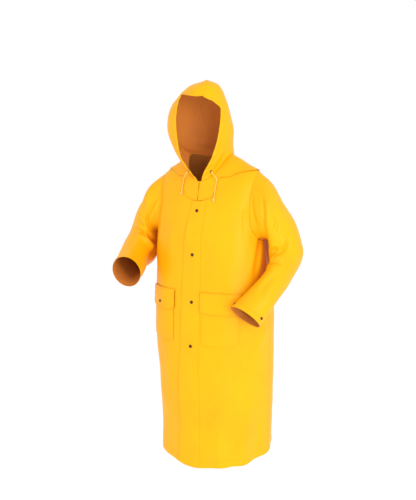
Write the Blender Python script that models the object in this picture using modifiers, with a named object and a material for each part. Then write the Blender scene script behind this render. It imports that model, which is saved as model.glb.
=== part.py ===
"""Hooded raincoat in PVC-coated cloth, filled out as worn, with no wearer: its true cloth solids, in metres.

+Z is up, the front faces -Y and the wearer's left is +X. The origin is the middle of the neck, where it is held.
The body and the hood are one family of rings, whose sizes stand in BODY_ROWS and HOOD_ROWS. The panels are cut from
it along the seams, the sleeves are lofts from the armholes to the cuffs, and everything that lies on a panel is made
from the panel's surface, moved out.
"""

import math
from collections import namedtuple

import bpy
import numpy as np
from mathutils import Vector

WALL = 0.0012  # wall of every cloth solid
SEAM = 0.00018  # each panel's edge stands back this far, so that neighbours are 0.36 mm apart
SLEEVE_GAP = 0.0009  # the sleeves stand back a little more, as the wall folds at the underarm
HOOD_GAP = 0.0009  # the hood's lower edge stands this far above the neck's
FRONT, BACK = -math.pi / 2, math.pi / 2  # angles round a ring, from the wearer's left
DIP_POWER = 1.7  # how a ring's height runs from its side to its front and back

BodyRow = namedtuple("BodyRow", "name z_side z_front z_back half_width x_mid y_side y_front y_back power")
BODY_ROWS = [
    BodyRow("hem", -1.178, -1.187, -1.186, 0.222, 0.018, 0.034, -0.204, 0.226, 2.15),
    BodyRow("calf", -1.060, -1.062, -1.060, 0.225, 0.018, 0.031, -0.203, 0.221, 2.15),
    BodyRow("thigh", -0.900, -0.900, -0.900, 0.233, 0.016, 0.025, -0.201, 0.211, 2.20),
    BodyRow("hip", -0.740, -0.740, -0.740, 0.243, 0.013, 0.016, -0.196, 0.200, 2.25),
    BodyRow("waist", -0.580, -0.580, -0.580, 0.246, 0.009, 0.010, -0.186, 0.190, 2.30),
    BodyRow("ribs", -0.420, -0.425, -0.420, 0.237, 0.003, 0.006, -0.168, 0.180, 2.35),
    BodyRow("underarm", -0.292, -0.305, -0.295, 0.230, -0.003, 0.004, -0.150, 0.172, 2.35),
    BodyRow("chest", -0.226, -0.242, -0.233, 0.228, -0.002, 0.002, -0.138, 0.165, 2.30),
    BodyRow("high_chest", -0.155, -0.188, -0.168, 0.227, 0.000, 0.002, -0.126, 0.152, 2.25),
    BodyRow("shoulder", -0.088, -0.148, -0.104, 0.221, 0.000, 0.002, -0.115, 0.133, 2.15),
    BodyRow("shoulder_tip", -0.038, -0.118, -0.052, 0.202, 0.000, 0.001, -0.107, 0.112, 2.05),
    BodyRow("mid_shoulder", -0.004, -0.094, -0.014, 0.150, 0.000, 0.000, -0.102, 0.090, 2.00),
    BodyRow("neck", 0.036, -0.066, 0.022, 0.091, 0.000, 0.000, -0.098, 0.072, 2.00),
]
UNDERARM, TIP, NECK = 6.0, 10.0, 12.0  # rows of the table: the armhole's bottom and top, and the neck
LOW_STEPS = [0, 0.8, 1.6, 2.4, 3.2, 4.0, 4.7, 5.4]  # the grid's rings below the underarm
TOP_STEPS = [10.5, 11, 11.5, 12]  # and above the shoulder tip
ARMHOLE_HALF_ANGLE = math.radians(30)  # how far round the chest the armhole cuts in, front and back
ARMHOLE_STEPS = 12
FRONT_COLUMNS, BACK_COLUMNS, HOOD_COLUMNS = 9, 17, 12

HoodRow = namedtuple(
    "HoodRow", "name z_side z_front z_back half_width x_mid y_mid y_front y_back turn open_left open_right"
)
HOOD_ROWS = [
    HoodRow("neck", 0.036, -0.066, 0.022, 0.091, 0.000, 0.000, -0.098, 0.072, 0, 5, 5),
    HoodRow("throat", 0.056, -0.034, 0.046, 0.107, -0.012, -0.022, -0.122, 0.076, 8, 15, 17),
    HoodRow("chin", 0.088, 0.010, 0.080, 0.121, -0.019, -0.042, -0.144, 0.070, 17, 28, 33),
    HoodRow("cheek", 0.132, 0.072, 0.126, 0.131, -0.024, -0.050, -0.160, 0.062, 24, 34, 36),
    HoodRow("eye", 0.182, 0.140, 0.176, 0.124, -0.027, -0.054, -0.168, 0.050, 28, 41, 42),
    HoodRow("brow", 0.226, 0.198, 0.220, 0.110, -0.025, -0.054, -0.168, 0.036, 30, 46, 50),
    HoodRow("forehead", 0.253, 0.230, 0.246, 0.095, -0.021, -0.050, -0.160, 0.024, 30, 30, 62),
    HoodRow("hairline", 0.269, 0.246, 0.261, 0.085, -0.018, -0.047, -0.152, 0.013, 30, 12, 70),
    HoodRow("rim_top", 0.281, 0.257, 0.273, 0.076, -0.015, -0.044, -0.146, 0.004, 30, 0, 0),
    HoodRow("crown", 0.306, 0.290, 0.298, 0.049, -0.010, -0.038, -0.124, -0.011, 30, 0, 0),
    HoodRow("ridge", 0.326, 0.314, 0.316, 0.000, -0.006, -0.032, -0.094, -0.020, 30, 0, 0),
]
HOOD_STEPS = [0, 0.5, 1, 1.5, 2, 3, 4, 5, 5.5, 6, 6.5, 7, 7.5, 8, 8.5, 9, 9.5, 10]

SleeveRow = namedtuple("SleeveRow", "name out_x out_y out_z in_x in_y in_z depth")
LEFT_SLEEVE = [
    SleeveRow("cap", 0.259, 0.000, -0.078, 0.254, 0.006, -0.288, 0.086),
    SleeveRow("upper", 0.302, 0.006, -0.146, 0.254, 0.020, -0.320, 0.086),
    SleeveRow("bicep", 0.346, 0.020, -0.232, 0.255, 0.028, -0.342, 0.083),
    SleeveRow("elbow", 0.370, 0.030, -0.328, 0.260, 0.014, -0.382, 0.076),
    SleeveRow("forearm", 0.359, -0.036, -0.420, 0.262, -0.058, -0.430, 0.066),
    SleeveRow("wrist", 0.337, -0.122, -0.500, 0.224, -0.124, -0.480, 0.055),
    SleeveRow("cuff", 0.317, -0.200, -0.576, 0.183, -0.186, -0.526, 0.045),
]
RIGHT_SLEEVE = [
    SleeveRow("cap", -0.256, 0.000, -0.078, -0.254, 0.006, -0.288, 0.086),
    SleeveRow("upper", -0.308, 0.004, -0.146, -0.254, 0.012, -0.320, 0.088),
    SleeveRow("bicep", -0.362, 0.002, -0.226, -0.255, 0.006, -0.346, 0.087),
    SleeveRow("elbow", -0.389, -0.018, -0.302, -0.260, -0.024, -0.392, 0.082),
    SleeveRow("forearm", -0.379, -0.094, -0.350, -0.252, -0.086, -0.408, 0.075),
    SleeveRow("wrist", -0.350, -0.168, -0.386, -0.229, -0.152, -0.424, 0.068),
    SleeveRow("cuff", -0.322, -0.240, -0.416, -0.206, -0.214, -0.438, 0.063),
]
SLEEVE_STEPS = [0, 0.4, 0.8, 1.2, 1.7, 2.3, 2.9, 3.4, 3.9, 4.4, 5.0, 5.7, 6.6, 7.0]
ARMHOLE_CENTRE = (0.212, 0.0, -0.165)  # of the left one: the sleeves' centre lines start here

CAPE_LIFT = (0.0012, 0.0024)  # the inner and outer face's height over the panel
CAPE_SLIT = 1.5  # degrees from the front's middle to the cape's edge, on each side
CAPE_START = 0.12  # the cape's upper edge is this many rows under the neck
CapeRow = namedtuple("CapeRow", "angle reach")
CAPE_ROWS = [  # how many rows down from the neck the cape's edge comes, round from the front's middle to the back's
    CapeRow(0, 2.75),
    CapeRow(14, 2.45),
    CapeRow(22, 1.60),
    CapeRow(30, 0.75),
    CapeRow(38, 0.60),
    CapeRow(52, 1.05),
    CapeRow(90, 1.75),
    CapeRow(130, 1.90),
    CapeRow(180, 2.05),
]
CAPE_ANGLES = [CAPE_SLIT, 6, 11.25, 15, 18.75, 22.5, 28, 33.75, 39, 45, 56.25, 67.5, 78.75]  # up to the shoulder seam

FLY_LIFT = (0.0010, 0.0022)
FLY_HALF_WIDTH, FLY_SHIFT = 0.034, 0.004  # the storm flap over the front edges, 68 mm wide
SNAP_RADIUS, SNAP_HEIGHT = 0.0065, 0.0022
SNAP_HEIGHTS = [-0.178, -0.346, -0.528, -0.700]  # of the front's snaps, under the neck

PocketRow = namedtuple("PocketRow", "side near width flap_top flap_depth pocket_depth")
POCKETS = [  # near: from the front's middle, round the body
    PocketRow("left", 0.047, 0.150, -0.488, 0.080, 0.205),
    PocketRow("right", 0.082, 0.150, -0.488, 0.080, 0.205),
]
POCKET_LIFT, FLAP_LIFT = (0.0010, 0.0022), (0.0034, 0.0046)
FLAP_SNAP = (-0.155, -0.545)  # round the body from the front's middle, and height

CordRow = namedtuple("CordRow", "side eyelet_ring eyelet_angle hang_x hang_from hang_to lift")
CORDS = [
    CordRow("left", 0.62, -60, 0.070, -0.058, -0.142, 0.0048),
    CordRow("right", 0.62, -118, -0.080, -0.062, -0.122, 0.0028),
]
CORD_RADIUS = 0.0020

YELLOW, DARK, CORD = (0.93, 0.55, 0.01, 1.0), (0.02, 0.02, 0.022, 1.0), (0.80, 0.46, 0.03, 1.0)
COLLECTION = "hooded_raincoat"

BODY_TABLE = np.array([row[1:] for row in BODY_ROWS])
HOOD_TABLE = np.array([row[1:] for row in HOOD_ROWS], float)


# ---------------------------------------------------------------- the surfaces


def spline(rows, at):
    """Catmull-Rom through the rows at the place `at`, counted in rows."""
    rows = np.asarray(rows, float)
    ext = np.concatenate([[2 * rows[0] - rows[1]], rows, [2 * rows[-1] - rows[-2]]])
    i = int(min(max(math.floor(at), 0), len(rows) - 2))
    t = at - i
    a, b, c, d = ext[i], ext[i + 1], ext[i + 2], ext[i + 3]
    return 0.5 * (2 * b + (c - a) * t + (2 * a - 5 * b + 4 * c - d) * t**2 + (3 * b - a - 3 * c + d) * t**3)


def body(s, angle):
    """The point on the body's outer face at ring s, this far round from the wearer's left."""
    z_side, z_front, z_back, a, x_mid, y_side, y_front, y_back, power = spline(BODY_TABLE, s)
    c, k = math.cos(angle), math.sin(angle)
    x = x_mid + a * math.copysign(abs(c) ** (2 / power), c)
    reach = (y_back if k > 0 else y_front) - y_side
    y = y_side + reach * abs(k) ** (2 / power)
    z = z_side + ((z_back if k > 0 else z_front) - z_side) * abs(k) ** DIP_POWER
    return np.array([x, y, z])


def hood(s, angle):
    """The point on the hood's outer face at ring s; the rings turn towards the wearer's left as they rise."""
    z_side, z_front, z_back, a, x_mid, y_mid, y_front, y_back, turn = spline(HOOD_TABLE[:, :9], s)
    c, k = math.cos(angle), math.sin(angle)
    x = a * c
    y = ((y_back if k > 0 else y_front) - y_mid) * abs(k)
    z = z_side + ((z_back if k > 0 else z_front) - z_side) * abs(k) ** DIP_POWER
    t = math.radians(turn)
    return np.array([x_mid + x * math.cos(t) - y * math.sin(t), y_mid + x * math.sin(t) + y * math.cos(t), z])


def hood_opening(s, side):
    """The angle from the front's middle to the face opening's edge at ring s, on the left (0) or the right (1)."""
    steps = np.arange(len(HOOD_TABLE))
    return math.radians(float(np.interp(s, steps, HOOD_TABLE[:, 9 + side])))


def armhole_point(i, grow=1.0):
    """The ring and the angle of the armhole's corner i, counted from the underarm to the shoulder tip."""
    mid, half = (UNDERARM + TIP) / 2, (TIP - UNDERARM) / 2
    turn = math.pi * i / ARMHOLE_STEPS
    s = round(mid - half * math.cos(turn) * grow, 6)
    return s, round(ARMHOLE_HALF_ANGLE * math.sin(turn) * grow, 6) if 0 < i < ARMHOLE_STEPS else 0.0


ARMHOLE = dict(armhole_point(i) for i in range(ARMHOLE_STEPS + 1))


def armhole_angle(s):
    """Half the angle that the armhole takes out of one of the grid's rings."""
    return ARMHOLE.get(s, 0.0)


def surface_normal(function, s, angle):
    """The outward normal of the body or the hood at one place, by central differences."""
    step = 1e-3
    along = function(s + step, angle) - function(s - step, angle)
    around = function(s, angle + step) - function(s, angle - step)
    normal = np.cross(around, along)
    return normal / np.linalg.norm(normal)


def ring_at_height(z, angle):
    """The ring of the body whose point at this angle is at height z."""
    low, high = 0.0, NECK
    for _ in range(40):
        mid = (low + high) / 2
        low, high = (mid, high) if body(mid, angle)[2] < z else (low, mid)
    return (low + high) / 2


def angle_at_arc(s, distance):
    """The angle on ring s that lies this far round from the front's middle, towards the wearer's left if positive."""
    step = math.copysign(math.radians(0.5), distance)
    angle, gone, last = FRONT, 0.0, body(s, FRONT)
    while gone < abs(distance):
        here = body(s, angle + step)
        gone += float(np.linalg.norm(here - last))
        angle, last = angle + step, here
    return angle


def front_at(x, z):
    """The ring and the angle of the front's point at this x and height."""
    low, high = math.radians(-175), math.radians(-5)
    for _ in range(30):
        mid = (low + high) / 2
        low, high = (mid, high) if body(ring_at_height(z, mid), mid)[0] < x else (low, mid)
    return ring_at_height(z, low), low


def cape_reach(from_front):
    """How many rows down from the neck the cape's edge comes at this angle from the front's middle, in degrees."""
    for first, second in zip(CAPE_ROWS, CAPE_ROWS[1:]):
        if from_front <= second.angle:
            t = (from_front - first.angle) / (second.angle - first.angle)
            return first.reach + (second.reach - first.reach) * t * t * (3 - 2 * t)
    return CAPE_ROWS[-1].reach


# ---------------------------------------------------------------- grids and walls


def grid_of(function, steps, edges, columns):
    """A grid of points: for each ring step, `columns` places from edges(s)[0] to edges(s)[1]."""
    rows = []
    for s in steps:
        a, b = edges(s)
        rows.append([function(s, a + (b - a) * j / (columns - 1)) for j in range(columns)])
    return np.array(rows)


def sleeve_grid(table, sign):
    """The sleeve's grid: row 0 is the armhole's own points, and the last row is the cuff."""
    count = 2 * ARMHOLE_STEPS
    centres = np.array([[(r.out_x + r.in_x) / 2, (r.out_y + r.in_y) / 2, (r.out_z + r.in_z) / 2] for r in table])
    start = np.array(ARMHOLE_CENTRE) * (sign, 1, 1)
    tangents = np.gradient(np.vstack([start, centres]), axis=0)[1:]
    rails = []
    for j in range(count):
        phi = 2 * math.pi * j / count
        points = []
        # A place on the panel just inside the armhole comes first, so that the sleeve leaves along the panel.
        for grow in (1.3, 1.0):
            s, angle = armhole_point(abs(ARMHOLE_STEPS - j), grow)
            angle = -angle if j < ARMHOLE_STEPS else angle
            points.append(body(s, angle if sign > 0 else math.pi - angle))
        for row, centre, tangent in zip(table, centres, tangents):
            across = np.array([row.out_x, row.out_y, row.out_z]) - centre
            ahead = sign * np.cross(tangent, across)
            ahead *= row.depth / np.linalg.norm(ahead)
            points.append(centre + across * math.cos(phi) + ahead * math.sin(phi))
        rails.append([spline(points, 1 + s) for s in SLEEVE_STEPS])
    return np.array(rails).transpose(1, 0, 2)


def grid_squares(rows, columns, wrap):
    """Corner numbers of each square of a grid."""
    last = columns if wrap else columns - 1
    return [
        (i * columns + j, i * columns + (j + 1) % columns, (i + 1) * columns + (j + 1) % columns, (i + 1) * columns + j)
        for i in range(rows - 1)
        for j in range(last)
    ]


def shared_normals(grids):
    """Outward normals for every grid at once, so that panels that meet along a seam have one normal there."""
    keys, sums, numbered = {}, [], []
    for points, wrap, flip in grids:
        flat = points.reshape(-1, 3)
        index = []
        for p in flat:
            key = tuple(np.round(p, 6))
            if key not in keys:
                keys[key] = len(sums)
                sums.append(np.zeros(3))
            index.append(keys[key])
        numbered.append(index)
        for square in grid_squares(points.shape[0], points.shape[1], wrap):
            a, b, c, d = (flat[i] for i in square)
            normal = np.cross(c - a, d - b) * (-1 if flip else 1)
            for i in square:
                sums[index[i]] += normal
    found = []
    for (points, _, _), index in zip(grids, numbered):
        normals = np.array([sums[i] for i in index])
        normals /= np.maximum(np.linalg.norm(normals, axis=1, keepdims=True), 1e-12)
        found.append(normals.reshape(points.shape))
    return found


def drawn_back(points, sides, gap=SEAM):
    """The grid with some of its border drawn in by a gap: a first row, b last row, c first column, d last column."""
    moved = points.copy()

    def step_in(edge, inner):
        step = inner - edge
        return step / np.linalg.norm(step, axis=-1, keepdims=True) * gap

    if "a" in sides:
        moved[0] += step_in(points[0], points[1])
    if "b" in sides:
        moved[-1] += step_in(points[-1], points[-2])
    if "c" in sides:
        moved[:, 0] += step_in(points[:, 0], points[:, 1])
    if "d" in sides:
        moved[:, -1] += step_in(points[:, -1], points[:, -2])
    return moved


def add_object(name, data, made_of):
    """Links an object with one material into the coat's collection."""
    obj = bpy.data.objects.new(name, data)
    data.materials.append(made_of)
    bpy.data.collections[COLLECTION].objects.link(obj)
    return obj


def add_wall(name, points, normals, made_of, lift=(-WALL, 0.0), wrap=False, flip=False):
    """A closed cloth wall: the grid moved along its normals to its inner and outer face, and joined at its border."""
    rows, columns = points.shape[:2]
    outer = (points + normals * lift[1]).reshape(-1, 3)
    inner = (points + normals * lift[0]).reshape(-1, 3)
    n = len(outer)
    faces = []
    for a, b, c, d in grid_squares(rows, columns, wrap):
        # Both faces are cut along the same diagonal, so that the wall keeps its thickness where the cloth twists.
        faces += [(a, b, c), (a, c, d), (n + c, n + b, n + a), (n + d, n + c, n + a)]
    for j in range(columns if wrap else columns - 1):
        k = (j + 1) % columns
        top = (rows - 1) * columns
        faces += [(k, j, n + j, n + k), (top + j, top + k, n + top + k, n + top + j)]
    if not wrap:
        for i in range(rows - 1):
            a, b = i * columns, (i + 1) * columns
            c, d = a + columns - 1, b + columns - 1
            faces += [(a, b, n + b, n + a), (d, c, n + c, n + d)]
    if flip:
        faces = [tuple(reversed(face)) for face in faces]
    mesh = bpy.data.meshes.new(name)
    mesh.from_pydata([tuple(map(float, p)) for p in np.vstack([outer, inner])], [], faces)
    mesh.update()
    return add_object(name, mesh, made_of)


def add_laid(name, places, lift, made_of):
    """A piece that lies on the body: its places (ring, angle) are the panel's own, moved out."""
    points = np.array([[body(s, angle) for s, angle in row] for row in places])
    normals = np.array([[surface_normal(body, s, angle) for s, angle in row] for row in places])
    turned = np.dot(np.cross(points[0, 1] - points[0, 0], points[1, 0] - points[0, 0]), normals[0, 0]) < 0
    return add_wall(name, points, normals, made_of, lift=lift, flip=bool(turned))


def add_turned(name, centre, normal, radius, height, made_of):
    """A snap's cap or an eyelet: a turned profile that stands on the cloth along its normal."""
    profile = [(0, height), (radius * 0.72, height), (radius, height * 0.55), (radius, 0), (0, 0)]
    mesh = bpy.data.meshes.new(name)
    mesh.from_pydata([(x, 0, z) for x, z in profile], [(i, i + 1) for i in range(len(profile) - 1)], [])
    obj = add_object(name, mesh, made_of)
    screw = obj.modifiers.new("Turned", "SCREW")
    screw.axis = "Z"
    screw.steps = screw.render_steps = 12
    screw.use_merge_vertices = True
    screw.merge_threshold = 0.0001
    obj.location = centre
    obj.rotation_mode = "QUATERNION"
    obj.rotation_quaternion = Vector(normal).to_track_quat("Z", "Y")
    return obj


def add_cord(name, path, made_of):
    """A cord along a path: a curve with a round section and closed ends."""
    curve = bpy.data.curves.new(name, "CURVE")
    curve.dimensions = "3D"
    spline_ = curve.splines.new("POLY")
    spline_.points.add(len(path) - 1)
    for point, place in zip(spline_.points, path):
        point.co = (*place, 1)
    curve.bevel_depth = CORD_RADIUS
    curve.bevel_resolution = 2
    curve.use_fill_caps = True
    return add_object(name, curve, made_of)


def material(name, colour, roughness):
    """A plain material of one colour."""
    made = bpy.data.materials.new(name)
    made.use_nodes = True
    shader = made.node_tree.nodes["Principled BSDF"]
    shader.inputs["Base Color"].default_value = colour
    shader.inputs["Roughness"].default_value = roughness
    made.diffuse_color = colour
    return made


# ---------------------------------------------------------------- the coat's pieces


def build_body_and_sleeves(cloth):
    """The fronts, the back and the sleeves. It returns each sleeve's grid and normals, for the cuffs' snaps."""
    steps = LOW_STEPS + list(ARMHOLE) + TOP_STEPS
    left = grid_of(body, steps, lambda s: (-armhole_angle(s), FRONT), FRONT_COLUMNS)
    right = grid_of(body, steps, lambda s: (math.pi + armhole_angle(s), 1.5 * math.pi), FRONT_COLUMNS)
    back = grid_of(body, steps, lambda s: (armhole_angle(s), math.pi - armhole_angle(s)), BACK_COLUMNS)
    sleeve_left, sleeve_right = sleeve_grid(LEFT_SLEEVE, 1), sleeve_grid(RIGHT_SLEEVE, -1)
    normals = shared_normals([
        (left, False, True),
        (right, False, False),
        (back, False, False),
        (sleeve_left, True, False),
        (sleeve_right, True, True),
    ])
    add_wall("front_left", drawn_back(left, "abcd"), normals[0], cloth, flip=True)
    add_wall("front_right", drawn_back(right, "abcd"), normals[1], cloth)
    add_wall("back", drawn_back(back, "abcd"), normals[2], cloth)
    for name, grid, normal, flip in (
        ("sleeve_left", sleeve_left, normals[3], False),
        ("sleeve_right", sleeve_right, normals[4], True),
    ):
        add_wall(name, drawn_back(grid, "a", SLEEVE_GAP), normal, cloth, wrap=True, flip=flip)
    return {"left": (sleeve_left, normals[3]), "right": (sleeve_right, normals[4])}


def build_hood(cloth):
    """The hood's two halves, which meet from the nape over the crown to the forehead."""
    left = grid_of(hood, HOOD_STEPS, lambda s: (FRONT + hood_opening(s, 0), BACK), HOOD_COLUMNS)
    right = grid_of(hood, HOOD_STEPS, lambda s: (1.5 * math.pi - hood_opening(s, 1), BACK), HOOD_COLUMNS)
    normals = shared_normals([(left, False, False), (right, False, True)])
    raised = np.zeros((len(HOOD_STEPS), 1, 3))
    raised[0, 0, 2] = HOOD_GAP
    add_wall("hood_left", drawn_back(left, "bcd") + raised, normals[0], cloth)
    add_wall("hood_right", drawn_back(right, "bcd") + raised, normals[1], cloth, flip=True)


def build_cape(cloth):
    """The hood's flared lower edge on the shoulders, open at the front's middle."""
    front = [FRONT + math.radians(a) for a in CAPE_ANGLES]
    half = front + [BACK * j / 8 for j in range(9)]
    angles = half + [math.pi - a for a in reversed(half[:-1])]
    places = []
    for i in range(5):
        row = []
        for angle in angles:
            from_front = math.degrees(abs((angle - FRONT + math.pi) % (2 * math.pi) - math.pi))
            reach = cape_reach(from_front)
            row.append((NECK - CAPE_START - (reach - CAPE_START) * i / 4, angle))
        places.append(row)
    add_laid("cape", places, CAPE_LIFT, cloth)


def build_fly(cloth):
    """The storm flap over the front edges, from the cape's edge to the hem."""
    low, high, rows = 0.03, NECK - CAPE_ROWS[0].reach - 0.05, 21
    places = []
    for i in range(rows):
        s = low + (high - low) * i / (rows - 1)
        places.append([(s, angle_at_arc(s, FLY_SHIFT + FLY_HALF_WIDTH * (j - 1.5) / 1.5)) for j in range(4)])
    add_laid("front_fly", places, FLY_LIFT, cloth)


def pocket_places(row, high, deep, wider, corner):
    """The places of a pocket or a flap: 7 by 7, with the lower corners lifted by `corner`."""
    sign = 1 if row.side == "left" else -1
    places = []
    for i in range(7):
        line = []
        for j in range(7):
            across = sign * (row.near - wider + (row.width + 2 * wider) * j / 6)
            lifted = corner * abs(j / 3 - 1) ** 4 if i == 0 else 0.0
            s = ring_at_height(high - deep + deep * i / 6 + lifted, angle_at_arc(4.5, across))
            line.append((s, angle_at_arc(s, across)))
        places.append(line)
    return places


def build_pockets(cloth, dark):
    """The patch pockets, their flaps, and the snap on the right flap."""
    for row in POCKETS:
        pocket = pocket_places(row, row.flap_top - 0.030, row.pocket_depth - 0.030, 0.0, 0.0)
        add_laid(f"pocket_{row.side}", pocket, POCKET_LIFT, cloth)
        flap = pocket_places(row, row.flap_top, row.flap_depth, 0.006, 0.008)
        add_laid(f"flap_{row.side}", flap, FLAP_LIFT, cloth)
    across, z = FLAP_SNAP
    s = ring_at_height(z, angle_at_arc(4.5, across))
    angle = angle_at_arc(s, across)
    normal = surface_normal(body, s, angle)
    centre = body(s, angle) + normal * (FLAP_LIFT[1] + 0.0005)
    add_turned("flap_snap_right", centre, normal, SNAP_RADIUS * 0.9, SNAP_HEIGHT, dark)


def build_snaps(sleeves, dark):
    """The snaps down the front, and those that show at the cuffs."""
    for number, z in enumerate(SNAP_HEIGHTS, 1):
        s = ring_at_height(z, FRONT)
        angle = angle_at_arc(s, FLY_SHIFT)
        normal = surface_normal(body, s, angle)
        centre = body(s, angle) + normal * (FLY_LIFT[1] + 0.0005)
        add_turned(f"front_snap_{number}", centre, normal, SNAP_RADIUS, SNAP_HEIGHT, dark)
    for name, side, column in (
        ("cuff_snap_left_outer", "left", 1),
        ("cuff_snap_left_inner", "left", 11),
        ("cuff_snap_right", "right", 20),
    ):
        grid, normals = sleeves[side]
        normal = normals[-2, column] + normals[-1, column]
        normal /= np.linalg.norm(normal)
        centre = (grid[-2, column] + grid[-1, column]) / 2 + normal * 0.0006
        add_turned(name, centre, normal, SNAP_RADIUS * 0.9, SNAP_HEIGHT, dark)


def build_drawstring(dark, cord):
    """The drawstring's eyelets, low on the hood's front, and its free ends, which hang on the cape."""
    for row in CORDS:
        angle = math.radians(row.eyelet_angle)
        normal = surface_normal(hood, row.eyelet_ring, angle)
        centre = hood(row.eyelet_ring, angle)
        add_turned(f"eyelet_{row.side}", centre + normal * 0.0005, normal, 0.0055, 0.0014, dark)
        start = centre + normal * 0.0040
        hung = []
        for i in range(8):
            s, around = front_at(row.hang_x, row.hang_from + (row.hang_to - row.hang_from) * i / 7)
            hung.append(body(s, around) + surface_normal(body, s, around) * row.lift)
        over = start + normal * 0.0060 + (hung[0] - start) * 0.45
        bend = [spline([start, over, hung[0], hung[1]], t) for t in (0, 0.5, 1, 1.5)]
        add_cord(f"drawcord_{row.side}", bend + hung, cord)


def main():
    """Clears the scene and builds the coat."""
    for obj in list(bpy.data.objects):
        bpy.data.objects.remove(obj, do_unlink=True)
    bpy.context.scene.collection.children.link(bpy.data.collections.new(COLLECTION))
    cloth = material("coated_cloth", YELLOW, 0.4)
    dark = material("snap_metal", DARK, 0.35)
    cord = material("drawcord", CORD, 0.8)
    sleeves = build_body_and_sleeves(cloth)
    build_hood(cloth)
    build_cape(cloth)
    build_fly(cloth)
    build_pockets(cloth, dark)
    build_snaps(sleeves, dark)
    build_drawstring(dark, cord)


main()
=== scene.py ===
"""The looks of a hooded raincoat of coated cloth, filled out as worn with no wearer.

Every cloth piece is a thin shell on the same form as its solid, but finer, with creases, seams, hems and
stitches.
Lengths are metres, +Z is up, the front faces -Y and the wearer's left is +X.
"""

import logging
import math
from dataclasses import dataclass, field
from enum import Enum
from typing import Any, Sequence

import bpy
import numpy as np
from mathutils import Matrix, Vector


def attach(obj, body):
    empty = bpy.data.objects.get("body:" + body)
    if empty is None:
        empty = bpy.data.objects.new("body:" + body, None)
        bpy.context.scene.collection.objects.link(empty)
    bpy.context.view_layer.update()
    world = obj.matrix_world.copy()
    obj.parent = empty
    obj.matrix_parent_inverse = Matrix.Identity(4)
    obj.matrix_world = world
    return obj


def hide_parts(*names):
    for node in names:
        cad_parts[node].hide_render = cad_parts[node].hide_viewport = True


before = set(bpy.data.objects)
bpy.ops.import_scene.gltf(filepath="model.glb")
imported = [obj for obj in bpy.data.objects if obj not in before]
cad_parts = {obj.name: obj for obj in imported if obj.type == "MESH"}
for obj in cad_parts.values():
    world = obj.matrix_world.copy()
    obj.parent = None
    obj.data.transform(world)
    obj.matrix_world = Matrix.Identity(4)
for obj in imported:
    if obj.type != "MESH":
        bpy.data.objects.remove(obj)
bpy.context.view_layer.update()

LOG = logging.getLogger("raincoat")
FRONT, BACK = -math.pi / 2, math.pi / 2  # angles round a ring, from the wearer's left
CLOTH = 0.0008  # the shells' wall


# ---------------------------------------------------------------- small tools


def linear(code: str) -> tuple[float, float, float, float]:
    """Turns an sRGB hex colour into linear RGBA.

    Args:
        code: The colour, such as "#FAD016".

    Returns:
        Red, green, blue and alpha, linear.
    """
    values = [int(code[i : i + 2], 16) / 255 for i in (1, 3, 5)]
    return (*(v / 12.92 if v <= 0.04045 else ((v + 0.055) / 1.055) ** 2.4 for v in values), 1.0)


def catmull_rom(a: np.ndarray, b: np.ndarray, c: np.ndarray, d: np.ndarray, t: np.ndarray) -> np.ndarray:
    """Eases between the knots b and c by the share t, with a and d as the knots beyond them."""
    square, cube = 2 * a - 5 * b + 4 * c - d, 3 * b - a - 3 * c + d
    return 0.5 * (2 * b + (c - a) * t + square * t**2 + cube * t**3)


def spline(rows: np.ndarray, at: np.ndarray) -> np.ndarray:
    """Reads a Catmull-Rom curve through a table's rows.

    Args:
        rows: The table, one row for each knot.
        at: Places, counted in rows.

    Returns:
        One row for each place.
    """
    table = np.concatenate([[2 * rows[0] - rows[1]], rows, [2 * rows[-1] - rows[-2]]])
    i = np.clip(np.floor(at).astype(int), 0, len(rows) - 2)
    t = (at - i)[:, None]
    return catmull_rom(table[i], table[i + 1], table[i + 2], table[i + 3], t)


def smooth(t: np.ndarray) -> np.ndarray:
    """Eases a share from 0 to 1."""
    t = np.clip(t, 0, 1)
    return t * t * (3 - 2 * t)


def unit(vectors: np.ndarray) -> np.ndarray:
    """Vectors of length 1."""
    return vectors / np.maximum(np.linalg.norm(vectors, axis=-1, keepdims=True), 1e-12)


def bump(distance: np.ndarray, width: float) -> np.ndarray:
    """A soft bell of height 1 whose half width is `width`."""
    return np.exp(-((distance / width) ** 2))


def packed(count: int, low: float, high: float) -> np.ndarray:
    """Shares from 0 to 1, even inside and closer together at both ends.

    Args:
        count: How many even ones there are.
        low: The share that the closer stretch takes at the start.
        high: The share that it takes at the end.

    Returns:
        The shares, rising.
    """
    start = low * np.array([0.0, 0.12, 0.28, 0.46, 0.70])
    end = 1 - high * np.array([0.70, 0.46, 0.28, 0.12, 0.0])
    return np.concatenate([start, np.linspace(low, 1 - high, count), end])


def add_mesh(name: str, points: np.ndarray, faces: Sequence, marks: Sequence[int] = ()) -> bpy.types.Object:
    """Adds a smooth mesh object.

    Args:
        name: The piece's name.
        points: Its vertices.
        faces: Its faces, as vertex numbers.
        marks: Each face's material number, where they differ.

    Returns:
        The object.
    """
    mesh = bpy.data.meshes.new(name)
    mesh.from_pydata(points.tolist(), [], faces)
    if len(marks):
        mesh.polygons.foreach_set("material_index", marks)
    mesh.shade_smooth()
    mesh.update()
    made = bpy.data.objects.new(name, mesh)
    bpy.context.scene.collection.objects.link(made)
    return made


def hand_over(piece: bpy.types.Object, materials: Sequence, slot: str | None, *nodes: str) -> None:
    """Dresses a piece and puts it in the frame.

    Args:
        piece: The piece.
        materials: Its materials, in the order of its faces' material numbers.
        slot: The record's slot that it belongs to, or None; not used.
        nodes: The solids that it stands for.
    """
    for material in materials:
        piece.data.materials.append(material)
    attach(piece, "root")
    if nodes:
        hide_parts(*nodes)


# ---------------------------------------------------------------- finishes


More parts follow.
